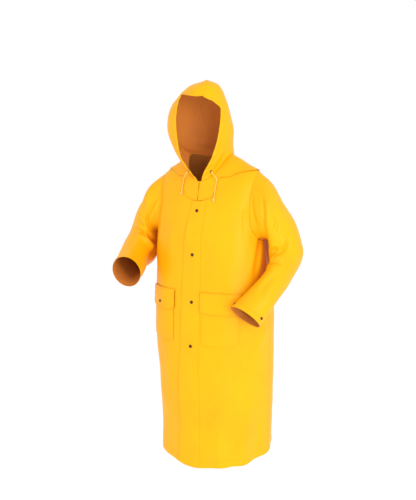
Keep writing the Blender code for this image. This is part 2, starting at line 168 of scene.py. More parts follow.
def add_node(tree: Any, kind: str, settings: dict | None = None, links: dict | None = None) -> Any:
    """Adds a shader node with its settings and links.

    Args:
        tree: The material's node tree.
        kind: The node's type, without the ShaderNode in front.
        settings: Properties by name, and input values by socket name or number.
        links: Sockets that feed inputs, by input name or number.

    Returns:
        The node.
    """
    made = tree.nodes.new("ShaderNode" + kind)
    for name, value in (settings or {}).items():
        if isinstance(name, str) and hasattr(made, name):
            setattr(made, name, value)
        else:
            made.inputs[name].default_value = value
    for name, socket in (links or {}).items():
        tree.links.new(socket, made.inputs[name])
    return made


def new_material(name: str) -> tuple[bpy.types.Material, Any, Any, Any]:
    """Starts a material.

    Args:
        name: Its name.

    Returns:
        The material, its tree, its Principled shader, and the piece's own coordinates in metres.
    """
    made = bpy.data.materials.new(name)
    made.use_nodes = True
    tree = made.node_tree
    return made, tree, tree.nodes["Principled BSDF"], add_node(tree, "TexCoord").outputs["Object"]


def mixed(tree: Any, low: str, high: str, share: Any) -> Any:
    """Mixes two sRGB hex colours by a socket's share, and gives the mixed colour's socket."""
    settings = {"data_type": "RGBA", 6: linear(low), 7: linear(high)}
    return add_node(tree, "Mix", settings, {0: share}).outputs[2]


def mapped(tree: Any, value: Any, **limits: float) -> Any:
    """Maps a socket's value; the limits are Map Range's inputs, with underscores for spaces."""
    settings = {name.replace("_", " ").title(): limit for name, limit in limits.items()}
    return add_node(tree, "MapRange", settings, {"Value": value}).outputs[0]


def dress(tree: Any, shader: Any, colour: Any, height: Any, strength: float, distance: float) -> None:
    """Joins a colour's socket, and a height's as relief in metres, to the shader."""
    tree.links.new(colour, shader.inputs["Base Color"])
    relief = add_node(tree, "Bump", {"Strength": strength, "Distance": distance}, {"Height": height})
    tree.links.new(relief.outputs[0], shader.inputs["Normal"])


def set_direct(shader: Any, **values: float) -> None:
    """Sets values on the shader's own sockets, with spaces for the underscores."""
    for name, value in values.items():
        shader.inputs[name.replace("_", " ").title() if name != "IOR" else name].default_value = value


@dataclass(frozen=True)
class CoatedCloth:
    """PVC-coated polyester: a smooth skin with a faint satin shine over a weave that just shows, and painted
    shade in its folds.
    """

    name: str
    colour: str
    deep: str  # painted shade: the deep orange put into the base colour in folds and gaps, where other cloth is near
    mottle: str  # slow changes of the coating's tint
    roughness: float
    weave: float = 0.0016  # thread spacing: 0.5 mm in the real cloth, drawn coarser so that it shows
    weave_share: float = 0.05  # the weave's height, against the dents'
    crinkle: float = 0.012  # size of the small dents left by folding in the pack
    shade_reach: float = 0.11  # how near other cloth has to be for a place to get the painted fold shade

    def build(self) -> bpy.types.Material:
        """Makes the material."""
        made, tree, shader, place = new_material(self.name)
        clouds = {"Scale": 4.5, "Detail": 3.0, "Roughness": 0.55}
        slow = add_node(tree, "TexNoise", clouds, {"Vector": place}).outputs[0]
        tint = mixed(tree, self.colour, self.mottle, mapped(tree, slow, from_min=0.42, from_max=0.75))
        # Painted shade: where other cloth is near, in folds and gaps between parts, the base colour turns
        # deep orange, standing in for the shade and for the light thrown between a fold's faces.
        nearness = add_node(tree, "AmbientOcclusion", {"samples": 8, "Distance": self.shade_reach})
        fold = add_node(
            tree,
            "MapRange",
            {"interpolation_type": "SMOOTHSTEP", "From Min": 0.46, "From Max": 0.04, "To Max": 0.9},
            {"Value": nearness.outputs["AO"]},
        )
        colour = add_node(
            tree,
            "Mix",
            {"data_type": "RGBA", 7: linear(self.deep)},
            {0: fold.outputs[0], 6: tint},
        )
        gloss = add_node(tree, "TexNoise", {"Scale": 38.0, "Detail": 2.0}, {"Vector": place}).outputs[0]
        rough = mapped(tree, gloss, to_min=self.roughness - 0.05, to_max=self.roughness + 0.07)
        tree.links.new(rough, shader.inputs["Roughness"])
        dents = add_node(tree, "TexNoise", {"Scale": 1 / self.crinkle, "Detail": 4.0}, {"Vector": place})
        waves = 2 * math.pi / (20 * self.weave)  # a wave texture of scale 1 repeats 20 times in 2 pi
        height = dents.outputs[0]
        for direction in ("X", "Z"):
            setting = {"bands_direction": direction, "Scale": waves}
            thread = add_node(tree, "TexWave", setting, {"Vector": place}).outputs["Fac"]
            add = {"operation": "MULTIPLY_ADD", 1: self.weave_share}
            height = add_node(tree, "Math", add, {0: thread, 2: height}).outputs[0]
        dress(tree, shader, colour.outputs[2], height, 0.22, 0.0012)
        set_direct(shader, IOR=1.5, Coat_weight=0.02, Coat_roughness=0.30)
        shader.inputs["Specular IOR Level"].default_value = 0.14
        return made


@dataclass(frozen=True)
class EnamelledBrass:
    """Stamped brass with baked brown enamel: dark, a little metallic, with worn brighter specks."""

    name: str = "enamelled_brass"
    enamel: str = "#4A2A14"
    worn: str = "#8A5A2C"
    grain: float = 0.0015  # size of the enamel's fine orange peel

    def build(self) -> bpy.types.Material:
        """Makes the material."""
        made, tree, shader, place = new_material(self.name)
        speck = add_node(tree, "TexNoise", {"Scale": 1 / self.grain, "Detail": 3.0}, {"Vector": place})
        wear = mapped(tree, speck.outputs[0], from_min=0.52, from_max=0.78)
        dress(tree, shader, mixed(tree, self.enamel, self.worn, wear), speck.outputs[0], 0.25, 0.0002)
        set_direct(shader, Metallic=0.55, Roughness=0.36)
        return made


@dataclass(frozen=True)
class BraidedCord:
    """Braided polyester cord: matt and pale, with the crossing strands of the braid as small lozenges, and
    painted shade in the hollows between them.
    """

    name: str = "braided_cord"
    light: str = "#FFE27A"
    dark: str = "#E3A91F"
    pitch: float = 0.0024  # length of one lozenge

    def build(self) -> bpy.types.Material:
        """Makes the material."""
        made, tree, shader, place = new_material(self.name)
        waves = 2 * math.pi / (20 * self.pitch)
        strands = []
        for direction in ("Z", "DIAGONAL"):
            setting = {"bands_direction": direction, "Scale": waves, "Distortion": 0.6}
            strands.append(add_node(tree, "TexWave", setting, {"Vector": place}).outputs["Fac"])
        braid = add_node(tree, "Math", {"operation": "MULTIPLY"}, {0: strands[0], 1: strands[1]})
        # Painted shade: the hollows between the strands take the darker colour, following the relief.
        colour = mixed(tree, self.dark, self.light, mapped(tree, braid.outputs[0], from_max=0.45))
        dress(tree, shader, colour, braid.outputs[0], 0.6, 0.0005)
        set_direct(shader, Roughness=0.82, Sheen_weight=0.25)
        return made


@dataclass(frozen=True)
class SewingThread:
    """Spun polyester thread: matt, a shade deeper than the coating, twisted finely."""

    name: str = "spun_polyester_thread"
    colour: str = "#E9AE14"
    twist: float = 0.0008

    def build(self) -> bpy.types.Material:
        """Makes the material."""
        made, tree, shader, place = new_material(self.name)
        setting = {"bands_direction": "DIAGONAL", "Scale": 2 * math.pi / (20 * self.twist)}
        ply = add_node(tree, "TexWave", setting, {"Vector": place})
        pale = [min(1.0, v * 1.12) for v in linear(self.colour)]
        colour = add_node(
            tree, "Mix", {"data_type": "RGBA", 6: linear(self.colour), 7: pale}, {0: ply.outputs["Fac"]}
        )
        tree.links.new(colour.outputs[2], shader.inputs["Base Color"])
        set_direct(shader, Roughness=0.7)
        return made


@dataclass(frozen=True)
class StudioPaper:
    """A seamless roll of white background paper: matt, with a faint tooth."""

    name: str = "background_paper"
    colour: str = "#FFFFFF"

    def build(self) -> bpy.types.Material:
        """Makes the material."""
        made, tree, shader, place = new_material(self.name)
        tooth = add_node(tree, "TexNoise", {"Scale": 90.0, "Detail": 4.0}, {"Vector": place})
        relief = add_node(tree, "Bump", {"Strength": 0.05, "Distance": 0.001}, {"Height": tooth.outputs[0]})
        tree.links.new(relief.outputs[0], shader.inputs["Normal"])
        shader.inputs["Base Color"].default_value = linear(self.colour)
        set_direct(shader, Roughness=0.95)
        return made


# Each finish's second colour is painted shade, put into its folds and gaps.
OUTSIDE = CoatedCloth("pvc_coated_polyester", "#F4AF06", "#DC7610", "#F2A70A", 0.42)
# Painted shade: the inside faces are the same yellow coating, coloured a darker orange-brown because the
# inside of the hood, the cuffs and the panels lies in shade.
INSIDE_PAINTED_SHADE = CoatedCloth("pvc_coated_polyester_back_painted_shade", "#D98A3C", "#AC5E26", "#CF8036", 0.60)


@dataclass
class Finishes:
    """The coat's materials, each made once."""

    outer: bpy.types.Material = field(default_factory=OUTSIDE.build)
    # the coating's inside faces, coloured orange-brown as painted shade
    inner: bpy.types.Material = field(default_factory=INSIDE_PAINTED_SHADE.build)
    metal: bpy.types.Material = field(default_factory=EnamelledBrass().build)
    cord: bpy.types.Material = field(default_factory=BraidedCord().build)
    thread: bpy.types.Material = field(default_factory=SewingThread().build)


# ---------------------------------------------------------------- creases


class CreaseKind(Enum):
    """How a crease stands on the cloth."""

    TROUGH = "a valley with a soft shoulder on each side"
    RIDGE = "a soft standing fold"
    ROLL = "a fold that leans over: a ridge with a sharp valley at its foot"


@dataclass(frozen=True)
class Crease:
    """One crease: its kind, its path over a form in the form's own marks, its depth and its half width.

    `held` is the share of the depth that it already has at its first point, where a seam or a bend pulls it.
    """

    kind: CreaseKind
    path: tuple[tuple[float, float], ...]
    depth: float
    width: float
    held: float = 0.0

    def height(self, points: np.ndarray, line: np.ndarray, out: np.ndarray) -> np.ndarray:
        """Works out how far the cloth moves out along its normal.

        Args:
            points: Places on the cloth.
            line: The crease's path as points, close together.
            out: The outward normals at the line's points.

        Returns:
            The height at each place, zero far from the crease.
        """
        heights = np.zeros(len(points))
        reach = 4 * self.width
        near = np.all((points > line.min(0) - reach) & (points < line.max(0) + reach), axis=1)
        if not near.any():
            return heights
        places = points[near]
        best, along = np.full(len(places), 1e9), np.zeros(len(places))
        side, past = np.zeros(len(places)), np.zeros(len(places))
        for k in range(len(line) - 1):
            step = line[k + 1] - line[k]
            t = np.clip((places - line[k]) @ step / max(step @ step, 1e-12), 0, 1)
            away = places - (line[k] + t[:, None] * step)
            distance = np.linalg.norm(away, axis=1)
            closer = distance < best
            best = np.where(closer, distance, best)
            along = np.where(closer, (k + t) / (len(line) - 1), along)
            across = away @ unit(np.cross(out[k], step))
            side = np.where(closer, across, side)
            past = np.where(closer, np.maximum(distance**2 - across**2, 0), past)
        u = side / self.width
        fade = np.maximum(self.held, smooth(along / 0.35)) * smooth((1 - along) / 0.35)
        fade = fade * np.exp(-past / self.width**2)
        if self.kind is CreaseKind.TROUGH:
            shape = -np.exp(-(u**2)) + 0.40 * np.exp(-(((np.abs(u) - 1.7) / 0.9) ** 2))
        elif self.kind is CreaseKind.RIDGE:
            shape = np.exp(-(u**2))
        else:
            shape = np.exp(-(((u - 0.7) / 0.9) ** 2)) - 0.95 * np.exp(-(((u + 0.55) / 0.5) ** 2))
        heights[near] = self.depth * shape * fade
        return heights


@dataclass(frozen=True)
class Unevenness:
    """The cloth's slow, irregular swell, as a sum of waves in all directions."""

    size: float
    depth: float
    seed: int
    count: int = 14

    def height(self, points: np.ndarray) -> np.ndarray:
        """The swell at each place."""
        draw = np.random.default_rng(self.seed)
        ways = unit(draw.normal(size=(self.count, 3))) * (2 * math.pi / self.size)
        ways *= draw.uniform(0.6, 1.5, (self.count, 1))
        phase = draw.uniform(0, 2 * math.pi, self.count)
        return np.sin(points @ ways.T + phase).sum(1) * self.depth / math.sqrt(self.count / 2)


# ---------------------------------------------------------------- the coat's forms


class ClothForm:
    """A form that cloth lies on, read by two marks: along it, and round it."""

    def __init__(self, creases: Sequence[Crease], swell: Sequence[Unevenness]) -> None:
        """Keeps the creases and the swell, and lays each crease's path on the form."""
        self.swell = swell
        self.creases = []
        for crease in creases:
            knots = np.array(crease.path, float)
            steps = np.linspace(0, len(knots) - 1, 8 * (len(knots) - 1) + 1)
            marks = spline(knots, steps)
            along, around = self.marks(marks[:, 0], marks[:, 1])
            self.creases.append((crease, self.rest(along, around), self.out(along, around)))

    def rest(self, along: np.ndarray, around: np.ndarray) -> np.ndarray:
        """The smooth form's points at these marks."""
        raise NotImplementedError

    def marks(self, first: np.ndarray, second: np.ndarray) -> tuple[np.ndarray, np.ndarray]:
        """Turns a crease's own marks into the form's."""
        return first, np.radians(second)

    def out(self, along: np.ndarray, around: np.ndarray) -> np.ndarray:
        """The smooth form's outward normals at these marks."""
        step = 1e-3
        up = self.rest(along + step, around) - self.rest(along - step, around)
        round_ = self.rest(along, around + step) - self.rest(along, around - step)
        return unit(np.cross(round_, up))

    def calm(self, along: np.ndarray) -> np.ndarray:
        """The share of the relief that is left at these marks, as a seam with another form flattens it."""
        return np.ones_like(along)

    def moved(self, points: np.ndarray, along: np.ndarray) -> np.ndarray:
        """The relief at these points, flattened by the seams."""
        return self.relief(points) * self.calm(along)

    def relief(self, points: np.ndarray) -> np.ndarray:
        """How far creases and swell move the cloth at these points of the smooth form."""
        heights = sum(crease.height(points, line, out) for crease, line, out in self.creases)
        return heights + sum(swell.height(points) for swell in self.swell)

    def cloth(self, along: np.ndarray, around: np.ndarray, lift: Any = 0.0) -> tuple[np.ndarray, np.ndarray]:
        """Reads the creased cloth.

        Args:
            along: Marks along the form.
            around: Marks round it.
            lift: How far over the cloth the points lie.

        Returns:
            The points and the smooth form's normals.
        """
        points, normals = self.rest(along, around), self.out(along, around)
        return points + normals * (self.moved(points, along) + lift)[:, None], normals


class BodyForm(ClothForm):
    """The body from hem to neck: rings from a table of rows, whose sections are rounded oblongs."""

    UNDERARM, TIP, NECK = 6.0, 10.0, 12.0  # rows: the armhole's bottom and top, and the neck
    ARMHOLE = math.radians(30)  # half of what the armhole takes out of a ring
    DIP_POWER = 1.7
    # columns: z_side z_front z_back half_width x_mid y_side y_front y_back power, from the hem to the neck
    ROWS = np.array([
        [-1.178, -1.187, -1.186, 0.222, 0.018, 0.034, -0.204, 0.226, 2.15],
        [-1.060, -1.062, -1.060, 0.225, 0.018, 0.031, -0.203, 0.221, 2.15],
        [-0.900, -0.900, -0.900, 0.233, 0.016, 0.025, -0.201, 0.211, 2.20],
        [-0.740, -0.740, -0.740, 0.243, 0.013, 0.016, -0.196, 0.200, 2.25],
        [-0.580, -0.580, -0.580, 0.246, 0.009, 0.010, -0.186, 0.190, 2.30],
        [-0.420, -0.425, -0.420, 0.237, 0.003, 0.006, -0.168, 0.180, 2.35],
        [-0.292, -0.305, -0.295, 0.230, -0.003, 0.004, -0.150, 0.172, 2.35],
        [-0.226, -0.242, -0.233, 0.228, -0.002, 0.002, -0.138, 0.165, 2.30],
        [-0.155, -0.188, -0.168, 0.227, 0.000, 0.002, -0.126, 0.152, 2.25],
        [-0.088, -0.148, -0.104, 0.221, 0.000, 0.002, -0.115, 0.133, 2.15],
        [-0.038, -0.118, -0.052, 0.202, 0.000, 0.001, -0.107, 0.112, 2.05],
        [-0.004, -0.094, -0.014, 0.150, 0.000, 0.000, -0.102, 0.090, 2.00],
        [0.036, -0.066, 0.022, 0.091, 0.000, 0.000, -0.098, 0.072, 2.00],
    ])
    # The lower body hangs in soft flutes: degrees from the front's middle, half width in degrees, depth.
    FLUTES = (
        (-52, 9, 0.0050), (-28, 8, -0.0035), (-9, 6, 0.0020), (16, 7, -0.0025), (33, 7, 0.0060),
        (46, 5, -0.0050), (58, 6, 0.0060), (74, 7, -0.0045), (92, 9, 0.0055), (115, 8, -0.0060),
        (133, 9, 0.0060), (152, 8, -0.0050), (171, 9, 0.0065), (191, 9, -0.0055), (212, 8, 0.0060),
        (232, 9, -0.0050), (254, 9, 0.0055), (283, 8, -0.0040),
    )
    FLUTE_TOP, FLUTE_FULL = -0.70, -1.15  # heights where the flutes begin and where they are full
    HEM_WAVES = ((1, 0.6, 0.0060), (2, 2.2, 0.0040), (3, 5.3, 0.0038), (5, 1.1, 0.0026), (8, 4.0, 0.0016))

    def rest(self, along: np.ndarray, around: np.ndarray) -> np.ndarray:
        """The smooth body's points."""
        z_side, z_front, z_back, a, x_mid, y_side, y_front, y_back, power = spline(self.ROWS, along).T
        c, k = np.cos(around), np.sin(around)
        x = x_mid + a * np.sign(c) * np.abs(c) ** (2 / power)
        y = y_side + (np.where(k > 0, y_back, y_front) - y_side) * np.abs(k) ** (2 / power)
        z = z_side + (np.where(k > 0, z_back, z_front) - z_side) * np.abs(k) ** self.DIP_POWER
        # The hem rises and falls a little round the coat.
        low = smooth((self.FLUTE_TOP - z) / (self.FLUTE_TOP - self.FLUTE_FULL))
        lift = sum(size * np.cos(turns * around - phase) for turns, phase, size in self.HEM_WAVES)
        return np.stack([x, y, z + low * lift], 1)

    def ring_at(self, z: np.ndarray, around: np.ndarray) -> np.ndarray:
        """The ring mark whose point at this angle is at this height, by halving."""
        low, high = np.zeros(len(z)), np.full(len(z), self.NECK)
        for _ in range(30):
            mid = (low + high) / 2
            under = self.rest(mid, around)[:, 2] < z
            low, high = np.where(under, mid, low), np.where(under, high, mid)
        return (low + high) / 2

    def marks(self, first: np.ndarray, second: np.ndarray) -> tuple[np.ndarray, np.ndarray]:
        """Turns a height and degrees from the front's middle into ring and angle."""
        around = FRONT + np.radians(second)
        return self.ring_at(first, around), around

    def calm(self, along: np.ndarray) -> np.ndarray:
        """Flat at the neck."""
        return smooth((self.NECK - along) / 0.6)

    def relief(self, points: np.ndarray) -> np.ndarray:
        """The creases and the swell, and the flutes of the lower body."""
        heights = super().relief(points)
        low = smooth((self.FLUTE_TOP - points[:, 2]) / (self.FLUTE_TOP - self.FLUTE_FULL))
        turn = np.degrees(np.arctan2(points[:, 1] - 0.012, points[:, 0] - 0.016)) + 90
        for centre, width, depth in self.FLUTES:
            away = (turn - centre + 180) % 360 - 180
            heights = heights + depth * low * bump(away, width)
        return heights

    def angle_at_arc(self, along: float, distances: np.ndarray) -> np.ndarray:
        """Angles at these distances round one ring from the front's middle, the wearer's left positive."""
        angles = FRONT + np.radians(np.linspace(-120, 120, 481))
        points = self.rest(np.full(len(angles), along), angles)
        steps = np.linalg.norm(np.diff(points, axis=0), axis=1)
        arc = np.concatenate([[0], np.cumsum(steps)])
        return np.interp(distances, arc - arc[240], angles)

    def armhole(self, along: np.ndarray) -> np.ndarray:
        """Half the angle that the armhole takes out of each ring."""
        mid, half = (self.UNDERARM + self.TIP) / 2, (self.TIP - self.UNDERARM) / 2
        return self.ARMHOLE * np.sqrt(np.clip(1 - ((along - mid) / half) ** 2, 0, 1))


class SleeveForm(ClothForm):
    """A sleeve from the armhole to the cuff, lofted through rings that lie across its bent centre line."""

    def __init__(
        self, body: BodyForm, rows: Sequence, side: int, creases: Sequence, swell: Sequence
    ) -> None:
        """Lofts the sleeve.

        Args:
            body: The form that it starts on.
            rows: Its rings, as out_x out_y out_z in_x in_y in_z depth.
            side: 1 for the wearer's left, -1 for the right.
            creases: Its creases.
            swell: The cloth's slow swell.
        """
        self.body, self.side = body, side
        table = np.array(rows)
        self.centres = (table[:, :3] + table[:, 3:6]) / 2
        self.across = table[:, :3] - self.centres
        start = np.array((0.212 * side, 0.0, -0.165))
        tangents = np.gradient(np.vstack([start, self.centres]), axis=0)[1:]
        self.ahead = side * unit(np.cross(tangents, self.across)) * table[:, 6:7]
        super().__init__(creases, swell)

    def rest(self, along: np.ndarray, around: np.ndarray) -> np.ndarray:
        """The smooth sleeve's points, from knots on the body, so that it leaves along the panel."""
        mid, half = (self.body.UNDERARM + self.body.TIP) / 2, (self.body.TIP - self.body.UNDERARM) / 2
        knots = []
        for grow in (1.3, 1.0):
            angle = -self.body.ARMHOLE * np.sin(around) * grow
            angle = angle if self.side > 0 else math.pi - angle
            knots.append(self.body.rest(mid + half * np.cos(around) * grow, angle))
        for centre, across, ahead in zip(self.centres, self.across, self.ahead):
            knots.append(centre + np.outer(np.cos(around), across) + np.outer(np.sin(around), ahead))
        knots.insert(0, 2 * knots[0] - knots[1])
        knots.append(2 * knots[-1] - knots[-2])
        table = np.array(knots)
        at = along + 1
        i = np.clip(np.floor(at).astype(int), 0, len(table) - 4)
        t = (at - i)[:, None]
        n = np.arange(len(at))
        return catmull_rom(table[i, n], table[i + 1, n], table[i + 2, n], table[i + 3, n], t)

    def moved(self, points: np.ndarray, along: np.ndarray) -> np.ndarray:
        """The sleeve's own relief, which eases into the body's at the armhole."""
        share = smooth(along / 0.45)
        return self.relief(points) * share + self.body.relief(points) * (1 - share)

    def out(self, along: np.ndarray, around: np.ndarray) -> np.ndarray:
        """The outward normals: the marks run the other way round on the right sleeve."""
        return super().out(along, around) * self.side


class HoodForm(ClothForm):
    """The hood: rings that turn towards the wearer's left as they rise, up to a ridge over the crown."""

    # columns: z_side z_front z_back half_width x_mid y_mid y_front y_back turn open_left open_right
    ROWS = np.array([
        [0.036, -0.066, 0.022, 0.091, 0.000, 0.000, -0.098, 0.072, 0, 5, 5],
        [0.056, -0.034, 0.046, 0.107, -0.012, -0.022, -0.122, 0.076, 8, 15, 17],
        [0.088, 0.010, 0.080, 0.121, -0.019, -0.042, -0.144, 0.070, 17, 28, 33],
        [0.132, 0.072, 0.126, 0.131, -0.024, -0.050, -0.160, 0.062, 24, 34, 36],
        [0.182, 0.140, 0.176, 0.124, -0.027, -0.054, -0.168, 0.050, 28, 41, 42],
        [0.226, 0.198, 0.220, 0.110, -0.025, -0.054, -0.168, 0.036, 30, 46, 50],
        [0.253, 0.230, 0.246, 0.095, -0.021, -0.050, -0.160, 0.024, 30, 30, 62],
        [0.269, 0.246, 0.261, 0.085, -0.018, -0.047, -0.152, 0.013, 30, 12, 70],
        [0.281, 0.257, 0.273, 0.076, -0.015, -0.044, -0.146, 0.004, 30, 0, 0],
        [0.306, 0.290, 0.298, 0.049, -0.010, -0.038, -0.124, -0.011, 30, 0, 0],
        [0.326, 0.314, 0.316, 0.000, -0.006, -0.032, -0.094, -0.020, 30, 0, 0],
    ])
    RIM, RIDGE = 8.0, 10.0  # rows where the opening closes, and the top
    DIP_POWER = 1.7

    def rest(self, along: np.ndarray, around: np.ndarray) -> np.ndarray:
        """The smooth hood's points."""
        z_side, z_front, z_back, a, x_mid, y_mid, y_front, y_back, turn = spline(self.ROWS[:, :9], along).T
        c, k = np.cos(around), np.sin(around)
        x = np.maximum(a, 0) * c
        y = (np.where(k > 0, y_back, y_front) - y_mid) * np.abs(k)
        z = z_side + (np.where(k > 0, z_back, z_front) - z_side) * np.abs(k) ** self.DIP_POWER
        t = np.radians(turn)
        return np.stack([x_mid + x * np.cos(t) - y * np.sin(t), y_mid + x * np.sin(t) + y * np.cos(t), z], 1)

    def marks(self, first: np.ndarray, second: np.ndarray) -> tuple[np.ndarray, np.ndarray]:
        """Turns a ring and degrees from the front's middle into ring and angle."""
        return first, FRONT + np.radians(second)

    def calm(self, along: np.ndarray) -> np.ndarray:
        """Flat at the neck."""
        return smooth(along / 0.5)

    def out(self, along: np.ndarray, around: np.ndarray) -> np.ndarray:
        """The outward normals, read a little under the ridge, where the rings still have a width."""
        return super().out(np.minimum(along, 9.7), around)

    def opening(self, along: np.ndarray, side: int) -> np.ndarray:
        """The angle from the front's middle to the face opening's edge, on the left (0) or the right (1)."""
        knots = np.arange(len(self.ROWS))
        return np.radians(np.interp(along, knots, self.ROWS[:, 9 + side]))


# ---------------------------------------------------------------- sheets of cloth


class Side(Enum):
    """A border of a grid: its first or last row, or its first or last column."""

    FIRST_ROW = "first row"
    LAST_ROW = "last row"
    FIRST_COLUMN = "first column"
    LAST_COLUMN = "last column"


class EdgeKind(Enum):
    """How a border is sewn."""

    SEAM = "joined to the next panel, with a shallow groove and small puckers"
    HEM = "turned under and stitched"
    CASING = "turned under round a drawstring, and gathered by it"
    FREE = "cut and folded thin"


@dataclass(frozen=True)
class Edge:
    """One border of a sheet: its side, how it is sewn, how wide its turning is, and if stitches show."""

    side: Side
    kind: EdgeKind
    width: float = 0.007
    stitched: bool = True
    rows: tuple[float, float] = (0.0, 1.0)  # the share of the border that it takes


@dataclass(frozen=True)
class Cut:
    """What a maker would cut: the flat width and length, and the flat area."""

    width: float
    length: float
    area: float


@dataclass
class ClothSheet:
    """A sheet on a form: its grid of marks, its lift, how its borders are sewn, and its flat cut."""

    name: str
    nodes: tuple[str, ...]
    form: ClothForm
    along: np.ndarray
    around: np.ndarray
    edges: tuple[Edge, ...]
    cut: Cut
    rests_on: tuple[str, ...]
    lift: float | np.ndarray = 0.0  # how far it lies over the form's cloth
    wrap: bool = False  # whether its last column meets its first
    held: str = "hung"
    gap: float = 0.00018  # how far its seam borders stand back
    flare: float = 0.0  # how far a free edge stands off what it lies on

    def spans(self, points: np.ndarray, side: Side) -> tuple[np.ndarray, np.ndarray]:
        """Measures the grid from one border.

        Args:
            points: The grid's points.
            side: The border.

        Returns:
            Each point's distance from that border, and how far along the border it lies.
        """
        axis = 0 if side in (Side.FIRST_ROW, Side.LAST_ROW) else 1
        steps = np.linalg.norm(np.diff(points, axis=axis), axis=2)
        zero = np.zeros_like(np.take(steps, [0], axis))
        away = np.concatenate([zero, np.cumsum(steps, axis)], axis)
        if side in (Side.LAST_ROW, Side.LAST_COLUMN):
            away = np.take(away, [-1], axis) - away
        other = 1 - axis
        steps = np.linalg.norm(np.diff(points, axis=other), axis=2)
        zero = np.zeros_like(np.take(steps, [0], other))
        run = np.concatenate([zero, np.cumsum(steps, other)], other)
        return away, run

    def sewing(self, points: np.ndarray) -> np.ndarray:
        """How far the sewing at the borders moves the cloth, as a grid of heights."""
        heights = np.zeros(points.shape[:2])
        for number, edge in enumerate(self.edges):
            away, run = self.spans(points, edge.side)
            share = run / np.maximum(run.max(), 1e-9)
            here = smooth((share - edge.rows[0]) / 0.02 + 0.5) * smooth((edge.rows[1] - share) / 0.02 + 0.5)
            phase = 1.7 * number + len(self.name)
            pucker = np.sin(run / 0.0052 + phase + 1.6 * np.sin(run / 0.031))
            pucker = pucker * (0.6 + 0.4 * np.sin(run / 0.047 + phase))
            if edge.kind is EdgeKind.SEAM:
                height = -0.0010 * bump(away, 0.0024) + 0.00035 * bump(away - edge.width, 0.004)
                height += 0.00045 * pucker * bump(away - 0.5 * edge.width, 0.010)
            elif edge.kind is EdgeKind.HEM:
                height = 0.0007 * smooth((edge.width - away) / 0.0015)
                height -= 0.0009 * bump(away - edge.width, 0.0018)
                height += 0.0005 * pucker * bump(away - edge.width, 0.012)
            elif edge.kind is EdgeKind.CASING:
                height = 0.0016 * np.sin(math.pi * np.clip(away / edge.width, 0, 1)) ** 0.7
                height -= 0.0010 * bump(away - edge.width, 0.0020)
                height += 0.0011 * pucker * bump(away - 0.5 * edge.width, 1.3 * edge.width)
            else:
                height = self.flare * (1 - smooth(away / 0.022)) - 0.0005 * bump(away - edge.width, 0.0018)
                height += 0.0004 * pucker * bump(away, 0.012)
            heights += height * here
        return heights

    def shape(self) -> None:
        """Works out the sheet's outer points and normals."""
        rows, columns = self.along.shape
        flat_along, flat_around = self.along.ravel(), self.around.ravel()
        rest = self.form.rest(flat_along, flat_around).reshape(rows, columns, 3)
        out = self.form.out(flat_along, flat_around).reshape(rows, columns, 3)
        relief = self.form.moved(rest.reshape(-1, 3), flat_along).reshape(rows, columns)
        self.points = rest + out * (relief + self.sewing(rest) + self.lift)[..., None]
        for edge in self.edges:
            if edge.kind is EdgeKind.SEAM:
                self.stand_back(edge.side)
        across = np.gradient(self.points, axis=1)
        if self.wrap:
            across = np.roll(self.points, -1, 1) - np.roll(self.points, 1, 1)
        normals = np.cross(across, np.gradient(self.points, axis=0))
        normals *= np.sign(np.sum(normals * out, axis=2, keepdims=True) + 1e-12)
        weak = np.linalg.norm(normals, axis=2, keepdims=True) < 1e-11
        self.normals = unit(np.where(weak, out, normals))

    def stand_back(self, side: Side) -> None:
        """Draws one border in by the gap."""
        points = self.points
        border, inner = {
            Side.FIRST_ROW: (points[0], points[1]),
            Side.LAST_ROW: (points[-1], points[-2]),
            Side.FIRST_COLUMN: (points[:, 0], points[:, 1]),
            Side.LAST_COLUMN: (points[:, -1], points[:, -2]),
        }[side]
        border += unit(inner - border) * self.gap

    def loops(self) -> list[tuple[np.ndarray, np.ndarray]]:
        """The grid's borders as closed loops of vertex numbers, each with its neighbour inside."""
        rows, columns = self.along.shape
        number = np.arange(rows * columns).reshape(rows, columns)
        if self.wrap:
            return [(number[0], number[1]), (number[-1][::-1], number[-2][::-1])]
        border = np.concatenate([number[0, :-1], number[:-1, -1], number[-1, :0:-1], number[:0:-1, 0]])
        i, j = np.divmod(border, columns)
        return [(border, number[np.clip(i, 1, rows - 2), np.clip(j, 1, columns - 2)])]

    def build(self, finishes: Finishes) -> bpy.types.Object:
        """Makes the closed shell: an outer and an inner face, joined round the borders by a rounded rim."""
        self.shape()
        rows, columns = self.along.shape
        outer = self.points.reshape(-1, 3)
        normals = self.normals.reshape(-1, 3)
        inner = outer - normals * CLOTH
        last = columns if self.wrap else columns - 1
        i, j = np.meshgrid(np.arange(rows - 1), np.arange(last), indexing="ij")
        i, j = i.ravel(), j.ravel()
        k = (j + 1) % columns
        row, below = i * columns, (i + 1) * columns
        squares = np.stack([row + j, row + k, below + k, below + j], 1)
        a, b, d = outer[squares[:, 0]], outer[squares[:, 1]], outer[squares[:, 3]]
        facing = np.sum(np.cross(b - a, d - a) * normals[squares[:, 0]]) > 0
        squares = squares if facing else squares[:, ::-1]
        count = len(outer)
        faces = [squares, squares[:, ::-1] + count]
